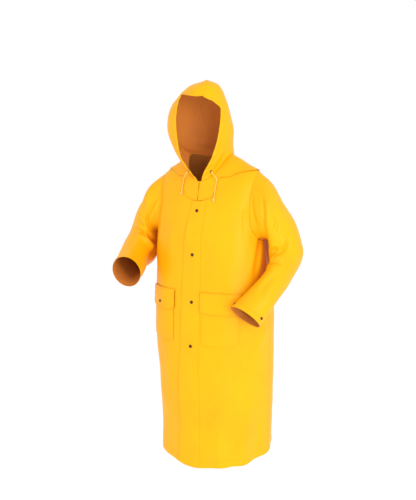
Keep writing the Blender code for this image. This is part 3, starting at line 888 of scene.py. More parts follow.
        # Inner faces take the second material: the coating's inside, coloured darker as painted shade.
        marks = [np.zeros(len(squares), int), np.ones(len(squares), int)]
        vertices = [outer, inner]
        start = 2 * count
        for border, inside in self.loops():
            away = unit(outer[border] - outer[inside])
            middle = outer[border] - normals[border] * CLOTH / 2
            chain = [border]
            for turn in (math.pi / 4, -math.pi / 4):
                ring = middle + (normals[border] * math.sin(turn) + away * math.cos(turn)) * CLOTH / 2
                vertices.append(ring)
                chain.append(np.arange(start, start + len(ring)))
                start += len(ring)
            chain.append(border + count)
            for upper, lower in zip(chain, chain[1:]):
                strip = np.stack([upper, lower, np.roll(lower, -1), np.roll(upper, -1)], 1)
                faces.append(strip if facing else strip[:, ::-1])
                marks.append(np.zeros(len(strip), int))
        numbers, sides = np.vstack(faces).tolist(), np.concatenate(marks).tolist()
        piece = add_mesh(self.name, np.vstack(vertices), numbers, sides)
        hand_over(piece, (finishes.outer, finishes.inner), "coated_cloth", *self.nodes)
        list(self.rests_on)
        a, b, c, d = (outer[squares[:, n]] for n in range(4))
        area = 0.5 * np.linalg.norm(np.cross(c - a, d - b), axis=1).sum()
        LOG.info("%s: %d faces, %.3f m2 of cloth", self.name, len(piece.data.polygons), area)
        return piece

    def line(self, edge: Edge) -> tuple[np.ndarray, np.ndarray]:
        """Finds where a border's stitches run.

        Args:
            edge: The border.

        Returns:
            The line's points on the cloth, and the normals there.
        """
        away, run = self.spans(self.points, edge.side)
        share = run / np.maximum(run.max(), 1e-9)
        rows_first = edge.side in (Side.FIRST_ROW, Side.LAST_ROW)
        found, normals = [], []
        for n in range(away.shape[1] if rows_first else away.shape[0]):
            cut = (slice(None), n) if rows_first else (n, slice(None))
            distance, points, out, place = away[cut], self.points[cut], self.normals[cut], share[cut]
            if edge.side in (Side.LAST_ROW, Side.LAST_COLUMN):
                distance, points, out, place = distance[::-1], points[::-1], out[::-1], place[::-1]
            if distance[-1] < edge.width or not edge.rows[0] <= place[0] <= edge.rows[1]:
                continue
            found.append([np.interp(edge.width, distance, points[:, axis]) for axis in range(3)])
            normals.append([np.interp(edge.width, distance, out[:, axis]) for axis in range(3)])
        return np.array(found), unit(np.array(normals)) if normals else np.array([])


def marks_between(rows: np.ndarray, low: np.ndarray, high: np.ndarray, shares: np.ndarray) -> tuple:
    """Lays a grid of marks between two borders.

    Args:
        rows: The mark along the form of each row.
        low: The angle of the first border at each row.
        high: The angle of the last one.
        shares: The columns' places between them, from 0 to 1.

    Returns:
        The marks along and round the form, as two grids.
    """
    around = low[:, None] + (high - low)[:, None] * shares[None, :]
    return np.repeat(rows[:, None], len(shares), 1), around


def degrees_from_front(around: np.ndarray) -> np.ndarray:
    """How far round from the front's middle, without a sign."""
    return np.degrees(np.abs((around - FRONT + math.pi) % (2 * math.pi) - math.pi))


# ---------------------------------------------------------------- the panels

T, R, F = CreaseKind.TROUGH, CreaseKind.RIDGE, CreaseKind.ROLL


@dataclass
class CoatBody:
    """The two fronts and the back, cut from one form along the side, armhole and shoulder seams."""

    row_step: float = 0.0065
    hem: float = 0.026
    snap_heights: tuple[float, ...] = (-0.178, -0.346, -0.528, -0.700)
    # height and degrees from the front's middle, the wearer's left positive
    creases: tuple[Crease, ...] = (
        # at the left armhole and down the left front
        Crease(T, ((-0.135, 54), (-0.20, 56), (-0.28, 61)), 0.0036, 0.010),
        Crease(F, ((-0.15, 55), (-0.22, 55), (-0.30, 60)), 0.0030, 0.010),
        Crease(T, ((-0.285, 84), (-0.36, 76), (-0.45, 66)), 0.0050, 0.013, 0.9),
        Crease(R, ((-0.62, 84), (-0.68, 74), (-0.78, 62)), 0.0045, 0.014),
        Crease(T, ((-0.64, 74), (-0.71, 65), (-0.80, 55)), 0.0030, 0.013),
        Crease(T, ((-0.34, 24), (-0.45, 28), (-0.56, 30)), 0.0018, 0.018),
        Crease(R, ((-0.16, 22), (-0.28, 26), (-0.40, 25)), 0.0018, 0.022),
        # down the right front
        Crease(T, ((-0.135, -54), (-0.20, -55), (-0.29, -60)), 0.0045, 0.010),
        Crease(T, ((-0.28, -80), (-0.36, -70), (-0.44, -60)), 0.0050, 0.013, 0.9),
        Crease(F, ((-0.17, -52), (-0.25, -50), (-0.33, -54)), 0.0028, 0.010),
        Crease(R, ((-0.20, -20), (-0.33, -24), (-0.46, -22)), 0.0018, 0.020),
        Crease(T, ((-0.72, -38), (-0.83, -36), (-0.95, -33)), 0.0030, 0.016),
        # the fronts ease in between the snaps
        Crease(T, ((-0.262, -14), (-0.255, -2), (-0.262, 12)), 0.0014, 0.012),
        Crease(T, ((-0.445, 10), (-0.435, 0), (-0.44, -14)), 0.0016, 0.012),
        Crease(T, ((-0.61, -12), (-0.615, 0), (-0.60, 12)), 0.0014, 0.012),
        # under the arms and at the sides of the back
        Crease(F, ((-0.30, 104), (-0.39, 112), (-0.50, 118)), 0.0060, 0.014, 0.9),
        Crease(T, ((-0.12, 122), (-0.20, 124), (-0.29, 118)), 0.0055, 0.011, 0.4),
        Crease(T, ((-0.31, 96), (-0.43, 98), (-0.58, 101)), 0.0050, 0.016, 0.9),
        Crease(F, ((-0.30, -104), (-0.40, -113), (-0.49, -121)), 0.0062, 0.014, 0.9),
        Crease(T, ((-0.12, -121), (-0.21, -124), (-0.30, -117)), 0.0060, 0.011, 0.4),
        Crease(T, ((-0.31, -97), (-0.42, -98), (-0.60, -99)), 0.0048, 0.016, 0.9),
        # down the back
        Crease(T, ((-0.10, 150), (-0.22, 152), (-0.38, 157)), 0.0038, 0.017),
        Crease(R, ((-0.14, 167), (-0.30, 168), (-0.50, 172)), 0.0035, 0.020),
        Crease(T, ((-0.12, -158), (-0.24, -156), (-0.42, -159)), 0.0040, 0.017),
        Crease(F, ((-0.42, 146), (-0.55, 150), (-0.72, 149)), 0.0045, 0.016),
        Crease(F, ((-0.46, -140), (-0.60, -143), (-0.76, -141)), 0.0045, 0.016),
        Crease(T, ((-0.50, 178), (-0.64, 180), (-0.80, 178)), 0.0035, 0.018),
        Crease(T, ((-0.085, 140), (-0.10, 165), (-0.098, 190)), 0.0022, 0.014),
    )

    def __post_init__(self) -> None:
        """Makes the form, and states each panel's cut."""
        self.form = BodyForm(self.creases, (Unevenness(0.34, 0.0022, 5), Unevenness(0.13, 0.0008, 11)))
        self.cuts = {
            "front_left": Cut(0.40, 1.22, 0.39),
            "front_right": Cut(0.40, 1.22, 0.39),
            "back": Cut(0.78, 1.25, 0.77),
        }

    def rows(self) -> np.ndarray:
        """The marks of the grid's rows: close together at the hem, and bunched at the armhole's ends."""
        marks = np.linspace(0, self.form.UNDERARM, 1500)
        heights = spline(self.form.ROWS, marks)[:, 0]
        hem = heights[0] + np.array([0.0, 0.001, 0.003, *np.arange(0.006, self.hem + 0.008, 0.0026)])
        even = np.arange(hem[-1] + 0.005, heights[-1] - 0.004, self.row_step)
        low = np.interp(np.concatenate([hem, even]), heights, marks)
        half = (self.form.TIP - self.form.UNDERARM) / 2
        armhole = self.form.UNDERARM + half - half * np.cos(np.linspace(0, math.pi, 47))
        shoulder = np.linspace(self.form.TIP, self.form.NECK - 0.06, 20)[1:]
        return np.concatenate([low, armhole, shoulder, [11.97, 11.985, 12.0]])

    def build(self, finishes: Finishes) -> list[ClothSheet]:
        """Makes the three panels.

        Args:
            finishes: The coat's materials.

        Returns:
            The panels' sheets.
        """
        rows = self.rows()
        hole = self.form.armhole(rows)
        zero = np.zeros(len(rows))
        hem = Edge(Side.FIRST_ROW, EdgeKind.HEM, self.hem)
        neck = Edge(Side.LAST_ROW, EdgeKind.FREE, stitched=False)
        side = Edge(Side.FIRST_COLUMN, EdgeKind.SEAM)
        middle = Edge(Side.LAST_COLUMN, EdgeKind.FREE, 0.012, stitched=False)
        other = Edge(Side.LAST_COLUMN, EdgeKind.SEAM)
        quarter, half = packed(54, 0.035, 0.02), packed(112, 0.018, 0.018)
        plans = (
            ("front_left", -hole, zero + FRONT, quarter, (hem, neck, side, middle)),
            ("front_right", math.pi + hole, zero + 1.5 * math.pi, quarter, (hem, neck, side, middle)),
            ("back", hole, math.pi - hole, half, (hem, neck, side, other)),
        )
        sheets = []
        for name, low, high, shares, edges in plans:
            along, around = marks_between(rows, low, high, shares)
            cut, under = self.cuts[name], ("hood_left",)
            sheet = ClothSheet(name + "_cloth", (name,), self.form, along, around, edges, cut, under)
            sheet.build(finishes)
            sheets.append(sheet)
        return sheets


@dataclass
class Sleeves:
    """The set-in sleeves, bent as the arms in them would hold them, open at the cuffs."""

    hem: float = 0.022
    cut: Cut = field(default_factory=lambda: Cut(0.50, 0.60, 0.235))
    # columns: out_x out_y out_z in_x in_y in_z depth, from the cap to the cuff
    left_rows: tuple = (
        (0.259, 0.000, -0.078, 0.254, 0.006, -0.288, 0.086),
        (0.302, 0.006, -0.146, 0.254, 0.020, -0.320, 0.086),
        (0.346, 0.020, -0.232, 0.255, 0.028, -0.342, 0.083),
        (0.370, 0.030, -0.328, 0.260, 0.014, -0.382, 0.076),
        (0.359, -0.036, -0.420, 0.262, -0.058, -0.430, 0.066),
        (0.337, -0.122, -0.500, 0.224, -0.124, -0.480, 0.055),
        (0.317, -0.200, -0.576, 0.183, -0.186, -0.526, 0.045),
    )
    right_rows: tuple = (
        (-0.256, 0.000, -0.078, -0.254, 0.006, -0.288, 0.086),
        (-0.308, 0.004, -0.146, -0.254, 0.012, -0.320, 0.088),
        (-0.362, 0.002, -0.226, -0.255, 0.006, -0.346, 0.087),
        (-0.389, -0.018, -0.302, -0.260, -0.024, -0.392, 0.082),
        (-0.379, -0.094, -0.350, -0.252, -0.086, -0.408, 0.075),
        (-0.350, -0.168, -0.386, -0.229, -0.152, -0.424, 0.068),
        (-0.322, -0.240, -0.416, -0.206, -0.214, -0.438, 0.063),
    )
    # row and degrees round: 0 outside, 90 ahead, 180 inside, 270 behind
    left_creases: tuple[Crease, ...] = (
        Crease(T, ((0.10, 62), (0.30, 90), (0.50, 128)), 0.0035, 0.009, 0.4),
        Crease(F, ((0.75, 42), (1.15, 78), (1.25, 132)), 0.0069, 0.014),
        Crease(T, ((1.9, 38), (2.35, 58), (2.5, 84)), 0.0052, 0.009),
        Crease(T, ((4.25, 128), (4.05, 102), (3.55, 78)), 0.0085, 0.011, 1.0),
        Crease(F, ((4.30, 104), (3.85, 66), (3.05, 38)), 0.0088, 0.014, 0.8),
        Crease(F, ((4.45, 118), (4.60, 84), (4.75, 50)), 0.0066, 0.016, 0.8),
        Crease(T, ((4.2, 118), (4.3, 160), (4.25, 205)), 0.0085, 0.014, 0.5),
        Crease(T, ((5.1, 62), (5.7, 76), (6.3, 70)), 0.0039, 0.012),
        Crease(R, ((5.3, 25), (5.9, 38), (6.5, 35)), 0.0034, 0.012),
        Crease(T, ((0.2, 300), (0.45, 260), (0.6, 225)), 0.0065, 0.010, 0.4),
        Crease(F, ((0.8, 310), (1.3, 278), (1.4, 228)), 0.0069, 0.016),
        Crease(T, ((2.0, 318), (2.5, 292), (2.6, 258)), 0.0055, 0.011),
        Crease(F, ((4.25, 222), (3.75, 262), (3.2, 300)), 0.0080, 0.016, 0.7),
        Crease(T, ((4.35, 215), (4.7, 262), (4.9, 305)), 0.0078, 0.012, 0.7),
        Crease(T, ((3.5, 336), (3.9, 350), (4.3, 340)), 0.0046, 0.014),
        Crease(R, ((5.4, 250), (5.9, 262), (6.4, 255)), 0.0039, 0.012),
    )
    right_creases: tuple[Crease, ...] = (
        Crease(F, ((0.15, 72), (0.55, 100), (1.6, 150)), 0.0088, 0.014, 0.5),
        Crease(T, ((0.9, 50), (1.4, 72), (1.7, 104)), 0.0049, 0.011),
        Crease(T, ((2.9, 62), (2.7, 82), (2.5, 108)), 0.0055, 0.009),
        Crease(F, ((3.2, 176), (3.35, 132), (3.55, 90)), 0.0093, 0.017, 1.0),
        Crease(T, ((3.3, 150), (4.2, 156), (5.4, 168)), 0.0090, 0.013, 0.6),
        Crease(F, ((3.9, 140), (4.1, 104), (4.0, 70)), 0.0069, 0.016, 0.6),
        Crease(T, ((5.4, 165), (6.0, 182), (6.5, 192)), 0.0065, 0.011, 0.3),
        Crease(T, ((4.8, 60), (5.3, 72), (5.9, 66)), 0.0039, 0.012),
        Crease(R, ((5.2, 20), (5.8, 34), (6.4, 28)), 0.0034, 0.012),
        Crease(T, ((0.2, 298), (0.4, 262), (0.7, 222)), 0.0068, 0.010, 0.4),
        Crease(F, ((0.9, 312), (1.3, 276), (1.5, 232)), 0.0069, 0.016),
        Crease(T, ((1.9, 322), (2.4, 296), (2.7, 262)), 0.0055, 0.011),
        Crease(F, ((3.5, 226), (3.2, 268), (2.8, 306)), 0.0077, 0.016, 0.7),
        Crease(T, ((3.9, 220), (4.2, 268), (4.3, 312)), 0.0078, 0.012, 0.7),
        Crease(R, ((5.0, 246), (5.6, 260), (6.2, 250)), 0.0039, 0.012),
    )

    def build(self, body: BodyForm, finishes: Finishes) -> list[ClothSheet]:
        """Makes both sleeves.

        Args:
            body: The body's form, where the armholes are.
            finishes: The coat's materials.

        Returns:
            The sleeves' sheets.
        """
        swell = body.swell
        cuff = 7 - np.array([0.30, 0.27, 0.24, 0.21, 0.185, 0.15, 0.11, 0.075, 0.04, 0.018, 0.006, 0.0])
        rows = np.concatenate([[0, 0.012, 0.03, 0.055, 0.09], np.arange(0.13, 6.67, 0.048), cuff])
        around = np.radians(np.linspace(0, 360, 133)[:-1])
        edges = (
            Edge(Side.FIRST_ROW, EdgeKind.SEAM),
            Edge(Side.LAST_ROW, EdgeKind.HEM, self.hem),
        )
        sheets = []
        for side, name, table, creases in (
            (1, "sleeve_left", self.left_rows, self.left_creases),
            (-1, "sleeve_right", self.right_rows, self.right_creases),
        ):
            form = SleeveForm(body, table, side, creases, swell)
            along, angles = np.meshgrid(rows, around, indexing="ij")
            under = ("front_left_cloth", "back_cloth")
            sheet = ClothSheet(
                name + "_cloth", (name,), form, along, angles, edges, self.cut, under, wrap=True, gap=0.0003
            )
            sheet.build(finishes)
            sheets.append(sheet)
        return sheets


@dataclass
class Hood:
    """The hood's halves, seamed from the nape over the crown, with a drawstring casing round the face."""

    casing: float = 0.021
    cut: Cut = field(default_factory=lambda: Cut(0.36, 0.42, 0.092))
    # row and degrees from the front's middle
    creases: tuple[Crease, ...] = (
        Crease(T, ((0.30, 34), (0.8, 52), (1.7, 66)), 0.0034, 0.010),
        Crease(F, ((0.30, 58), (0.8, 76), (1.6, 84)), 0.0036, 0.009),
        Crease(T, ((0.35, 92), (0.9, 104), (1.9, 106)), 0.0030, 0.010),
        Crease(T, ((0.3, -36), (0.9, -52), (1.8, -68)), 0.0034, 0.010),
        Crease(F, ((0.30, -64), (0.9, -80), (1.7, -90)), 0.0036, 0.009),
        Crease(T, ((1.7, -128), (1.9, -160), (1.8, -190)), 0.0036, 0.012),
        Crease(R, ((3.2, 62), (4.6, 66), (6.2, 60)), 0.0024, 0.018),
        Crease(T, ((4.2, 104), (5.6, 112), (7.0, 104)), 0.0024, 0.018),
        Crease(R, ((3.0, -100), (4.4, -108), (6.0, -104)), 0.0026, 0.018),
        Crease(T, ((3.4, 150), (4.6, 146), (6.0, 150)), 0.0024, 0.018),
        Crease(T, ((8.3, -60), (8.1, -30), (8.4, 10)), 0.0020, 0.010),
    )

    def build(self, swell: Sequence[Unevenness], finishes: Finishes) -> tuple[HoodForm, list[ClothSheet]]:
        """Makes both halves.

        Args:
            swell: The body's own, so that the two meet at the neck.
            finishes: The coat's materials.

        Returns:
            The hood's form and the halves' sheets.
        """
        form = HoodForm(self.creases, swell)
        stretches = ((0.14, 6.0, 0.10), (6.0, 8.0, 0.07), (8.0, 9.8, 0.10))  # from, to and step
        even = [np.arange(*stretch) for stretch in stretches]
        rows = np.concatenate([[0.004, 0.03, 0.06, 0.10], *even, [9.86, 9.93, 9.97, 10.0]])
        shares = packed(50, 0.04, 0.03)
        shut = 0.80  # the share of the front border, from the neck, that is the face's rim
        edges = (
            Edge(Side.FIRST_ROW, EdgeKind.FREE, stitched=False),
            Edge(Side.LAST_ROW, EdgeKind.SEAM),
            Edge(Side.FIRST_COLUMN, EdgeKind.CASING, self.casing, rows=(-0.1, shut)),
            Edge(Side.FIRST_COLUMN, EdgeKind.SEAM, rows=(shut, 1.1)),
            Edge(Side.LAST_COLUMN, EdgeKind.SEAM),
        )
        sheets = []
        for name, low in (
            ("hood_left", FRONT + form.opening(rows, 0)),
            ("hood_right", 1.5 * math.pi - form.opening(rows, 1)),
        ):
            along, around = marks_between(rows, low, np.full(len(rows), BACK), shares)
            sheet = ClothSheet(
                name + "_cloth", (name,), form, along, around, edges, self.cut, ("cape_cloth",), gap=0.0001
            )
            sheet.build(finishes)
            sheets.append(sheet)
        return form, sheets


@dataclass
class Cape:
    """The hood's flared lower edge, which lies on the shoulders and dips to a bib in front."""

    slit: float = 1.3  # degrees from the front's middle to the edge, on each side, at the top
    start: float = 0.03  # rows under the neck where it starts
    cut: Cut = field(default_factory=lambda: Cut(1.05, 0.17, 0.070))
    # degrees from the front's middle, and how many rows down from the neck the edge comes
    reaches: tuple = (
        (0, 2.75), (14, 2.45), (22, 1.60), (30, 0.75), (38, 0.60), (52, 1.05), (90, 1.75), (130, 1.90),
        (180, 2.05),
    )

    def reach(self, around: np.ndarray) -> np.ndarray:
        """How many rows down the edge comes at these angles."""
        turn = degrees_from_front(around)
        found = np.full(turn.shape, float(self.reaches[-1][1]))
        for (a, first), (b, second) in reversed(list(zip(self.reaches, self.reaches[1:]))):
            t = np.clip((turn - a) / (b - a), 0, 1)
            found = np.where(turn <= b, first + (second - first) * t * t * (3 - 2 * t), found)
        return found

    def build(self, body: BodyForm, finishes: Finishes) -> ClothSheet:
        """Makes the cape.

        Args:
            body: The form that it lies on.
            finishes: The coat's materials.

        Returns:
            Its sheet.
        """
        down = np.concatenate([np.linspace(0, 0.9, 22), [0.94, 0.97, 0.99, 1.0]])
        gap = np.radians(self.slit * (1 - 0.75 * smooth((down - 0.15) / 0.4)))
        _, around = marks_between(down, FRONT + gap, FRONT + 2 * math.pi - gap, packed(210, 0.012, 0.012))
        reach = self.reach(around)
        along = body.NECK - self.start - (reach - self.start) * down[:, None]
        free = EdgeKind.FREE
        edges = (
            Edge(Side.LAST_ROW, free, 0.006),
            Edge(Side.FIRST_COLUMN, free, 0.006),
            Edge(Side.LAST_COLUMN, free, 0.006),
        )
        rise = 0.0010 + 0.0014 * smooth(down / 0.3)[:, None]
        sheet = ClothSheet(
            "cape_cloth", ("cape",), body, along, around, edges, self.cut,
            ("front_left_cloth", "front_right_cloth", "back_cloth"), lift=rise, held="draped", flare=0.0012,
        )
        sheet.build(finishes)
        return sheet


@dataclass
class StormFly:
    """The flap over the front edges: sewn on at the wearer's left, free at the right, held by snaps."""

    top: float = 9.20  # rows of the body where it starts and ends
    foot: float = 0.03
    attached: float = 0.038  # round the body from the front's middle
    free_top: float = -0.022
    free_foot: float = -0.056
    cut: Cut = field(default_factory=lambda: Cut(0.080, 1.02, 0.076))

    def build(self, body: BodyForm, heights: Sequence[float], finishes: Finishes) -> ClothSheet:
        """Makes the flap.

        Args:
            body: The form that it lies on.
            heights: The snaps' heights, where it is held down.
            finishes: The coat's materials.

        Returns:
            Its sheet.
        """
        rows = np.concatenate([[self.foot, self.foot + 0.012], np.linspace(self.foot + 0.03, self.top, 165)])
        near = [0, 0.012, 0.03, 0.07, 0.13, 0.2, 0.28]
        shares = np.array([*near, 0.37, 0.46, 0.55, 0.64, 0.73, 0.82, 0.9, 0.96, 1.0])
        around = []
        for row in rows:
            free = np.interp(row, [self.foot, self.top], [self.free_foot, self.free_top])
            around.append(body.angle_at_arc(row, free + (self.attached - free) * shares))
        around = np.array(around)
        along = np.repeat(rows[:, None], len(shares), 1)
        z = spline(body.ROWS, rows)[:, 1]
        held = sum(bump(z - height, 0.045) for height in heights)
        loose = (1 - np.clip(held, 0, 1)) * (0.5 + 0.5 * np.sin(z * 21 + 0.6))
        lift = 0.0022 - 0.0011 * smooth((shares - 0.55) / 0.45)[None, :]
        lift = lift + 0.0028 * loose[:, None] * (1 - smooth(shares / 0.45))[None, :]
        edges = (
            Edge(Side.FIRST_COLUMN, EdgeKind.FREE, 0.006),
            Edge(Side.FIRST_ROW, EdgeKind.FREE, 0.024),
        )
        sheet = ClothSheet(
            "front_fly_cloth", ("front_fly",), body, along, around, edges, self.cut,
            ("front_left_cloth", "front_right_cloth"), lift=lift, flare=0.0006,
        )
        sheet.build(finishes)
        return sheet


@dataclass
class FlapPockets:
    """The patch pockets on the fronts, with a rounded flap over each."""

    nears: tuple = (("left", 1, 0.047), ("right", -1, 0.082))  # round the body from the front's middle
    width: float = 0.150
    flap_top: float = -0.488
    flap_depth: float = 0.080
    pocket_depth: float = 0.205
    covered: float = 0.030  # how far under the flap's top the pocket starts
    overhang: float = 0.006
    corner: float = 0.010
    belly: float = 0.0034
    pocket_cut: Cut = field(default_factory=lambda: Cut(0.150, 0.176, 0.0262))
    flap_cut: Cut = field(default_factory=lambda: Cut(0.163, 0.081, 0.0128))

    def grid(self, body: BodyForm, sign: int, near: float, high: float, deep: float, wider: float) -> tuple:
        """Lays a patch's marks on the body.

        Args:
            body: The form that it lies on.
            sign: 1 on the wearer's left.
            near: Its nearer side, round the body from the front's middle.
            high: The height of its top.
            deep: How far down it comes.
            wider: How far it stands out past the pocket's sides.

        Returns:
            The marks along and round the body, and the columns' and rows' shares.
        """
        u, v = packed(24, 0.05, 0.05), packed(max(14, round(deep / 0.0065)), 0.06, 0.06)
        across = sign * (near - wider + (self.width + 2 * wider) * u)
        centre = body.angle_at_arc(4.5, np.array([sign * (near + self.width / 2)]))
        along, around = [], []
        for share in v:
            z = high - deep + deep * share
            row = body.ring_at(np.array([z]), centre)[0]
            angles = body.angle_at_arc(row, across)
            lifted = self.corner * np.abs(2 * u - 1) ** 6 * (1 - share) ** 3
            along.append(body.ring_at(z + lifted, angles))
            around.append(angles)
        return np.array(along), np.array(around), u, v

    def build(self, body: BodyForm, finishes: Finishes) -> list[ClothSheet]:
        """Makes the pockets and the flaps.

        Args:
            body: The form that they lie on.
            finishes: The coat's materials.

        Returns:
            Their sheets.
        """
        free = EdgeKind.FREE
        sides = (Side.FIRST_ROW, Side.FIRST_COLUMN, Side.LAST_COLUMN)
        sheets = []
        for side, sign, near in self.nears:
            panel = (f"front_{side}_cloth",)
            deep = self.pocket_depth - self.covered
            along, around, u, v = self.grid(body, sign, near, self.flap_top - self.covered, deep, 0.0)
            bare = 1 - (self.flap_depth - self.covered) / deep
            belly = self.belly * np.sin(math.pi * u)[None, :]
            belly = belly * np.sin(math.pi * np.clip(v / bare, 0, 1))[:, None]
            edges = tuple(Edge(s, free, 0.004) for s in sides) + (Edge(Side.LAST_ROW, free, 0.020),)
            names = f"pocket_{side}_cloth", (f"pocket_{side}",)
            sheets.append(ClothSheet(
                *names, body, along, around, edges, self.pocket_cut, panel, lift=0.0022 + belly, held="laid"
            ))
            along, around, u, v = self.grid(body, sign, near, self.flap_top, self.flap_depth, self.overhang)
            drop = 0.0046 - 0.0022 * smooth((v - 0.85) / 0.15)[:, None] + 0.0012 * (1 - v)[:, None]
            edges = tuple(Edge(s, free, 0.006) for s in sides) + (Edge(Side.LAST_ROW, free, 0.004),)
            names = f"flap_{side}_cloth", (f"flap_{side}",)
            sheets.append(ClothSheet(
                *names, body, along, around, edges, self.flap_cut, panel,
                lift=np.maximum(drop, 0.0032), flare=0.0010, held="laid",
            ))
        for sheet in sheets:
            sheet.build(finishes)
        return sheets


# ---------------------------------------------------------------- metal, cord and thread


def turned(
    name: str, profile: np.ndarray, centre: np.ndarray, out: np.ndarray, steps: int = 28
) -> bpy.types.Object:
    """Turns a profile round an axis that stands on the cloth.

    Args:
        name: The piece's name.
        profile: Radii and heights, from the middle of the face, over the rim, to the middle of the foot.
        centre: The foot's middle.
        out: The axis.
        steps: How many steps there are round it.

    Returns:
        The closed piece.
    """
    axis = Vector(out).to_track_quat("Z", "Y")
    angles = np.arange(steps) * 2 * math.pi / steps
    circle = np.stack([np.cos(angles), np.sin(angles), np.zeros(steps)], 1)
    rings = [circle * r + (0, 0, h) for r, h in profile[1:-1]]
    local = np.vstack([[[0, 0, profile[0][1]]], *rings, [[0, 0, profile[-1][1]]]])
    matrix = np.array(axis.to_matrix())
    last = len(local) - 1
    faces: list[tuple[int, ...]] = []
    for k in range(steps):
        n = (k + 1) % steps
        faces.append((0, 1 + k, 1 + n))
        for ring in range(len(rings) - 1):
            a, b = 1 + ring * steps, 1 + (ring + 1) * steps
            faces.append((a + k, b + k, b + n, a + n))
        foot = 1 + (len(rings) - 1) * steps
        faces.append((foot + k, last, foot + n))
    return add_mesh(name, local @ matrix.T + centre, faces)


@dataclass
class Snaps:
    """The press snaps' caps: stamped, with a rolled rim, a sunk ring and a low dome."""

    radius: float = 0.0065
    height: float = 0.0026
    steps: int = 28
    front_arc: float = 0.004  # round the body from the front's middle
    flap_arc: float = -0.155
    flap_z: float = -0.545
    smaller: float = 0.9  # the flap's and the cuffs' share of the full size
    cuffs: tuple = (  # name, sleeve and degrees round it
        ("cuff_snap_left_outer", 0, 15),
        ("cuff_snap_left_inner", 0, 165),
        ("cuff_snap_right", 1, 300),
    )
    # shares of the radius and of the height, from the middle of the face to the middle of the foot
    profile: tuple = (
        (0, 0.86), (0.20, 0.84), (0.38, 0.74), (0.46, 0.60), (0.54, 0.60), (0.62, 0.80), (0.74, 0.98),
        (0.86, 0.98), (0.95, 0.80), (1.0, 0.50), (1.0, 0.12), (0.97, 0.0), (0, 0),
    )

    def cap(
        self, name: str, node: str, centre: np.ndarray, out: np.ndarray, size: float, finishes: Finishes
    ) -> None:
        """Makes one cap.

        Args:
            name: The piece's name.
            node: The snap that it stands for.
            centre: The middle of its foot.
            out: The way that it faces.
            size: Its share of the full size.
            finishes: The coat's materials.
        """
        r, h = self.radius * size, self.height * size
        piece = turned(name, np.array([(a * r, b * h) for a, b in self.profile]), centre, out, self.steps)
        hand_over(piece, (finishes.metal,), "snap_metal", node)
        LOG.info("%s: %d faces", name, len(piece.data.polygons))

    def build(self, coat: CoatBody, sleeves: Sequence[ClothSheet], finishes: Finishes) -> None:
        """Makes the front's, the flap's and the cuffs' caps.

        Args:
            coat: The body, for its form and the snaps' heights.
            sleeves: The sleeves' sheets, left and right.
            finishes: The coat's materials.
        """
        body = coat.form
        for number, z in enumerate(coat.snap_heights, 1):
            row = body.ring_at(np.array([z]), np.array([FRONT]))
            angle = body.angle_at_arc(row[0], np.array([self.front_arc]))
            centre, out = body.cloth(row, angle, 0.0024)
            self.cap(f"front_snap_{number}_cap", f"front_snap_{number}", centre[0], out[0], 1.0, finishes)
        start = body.angle_at_arc(4.5, np.array([self.flap_arc]))
        row = body.ring_at(np.array([self.flap_z]), start)
        angle = body.angle_at_arc(row[0], np.array([self.flap_arc]))
        centre, out = body.cloth(row, angle, 0.0058)
        self.cap("flap_snap_right_cap", "flap_snap_right", centre[0], out[0], self.smaller, finishes)
        for name, number, turn in self.cuffs:
            sheet = sleeves[number]
            row = len(sheet.points) - 9  # above the cuff's hem
            column = round(turn / 360 * sheet.points.shape[1])
            out = sheet.normals[row, column]
            centre = sheet.points[row, column] + out * 0.0001
            self.cap(name + "_cap", name, centre, out, self.smaller, finishes)


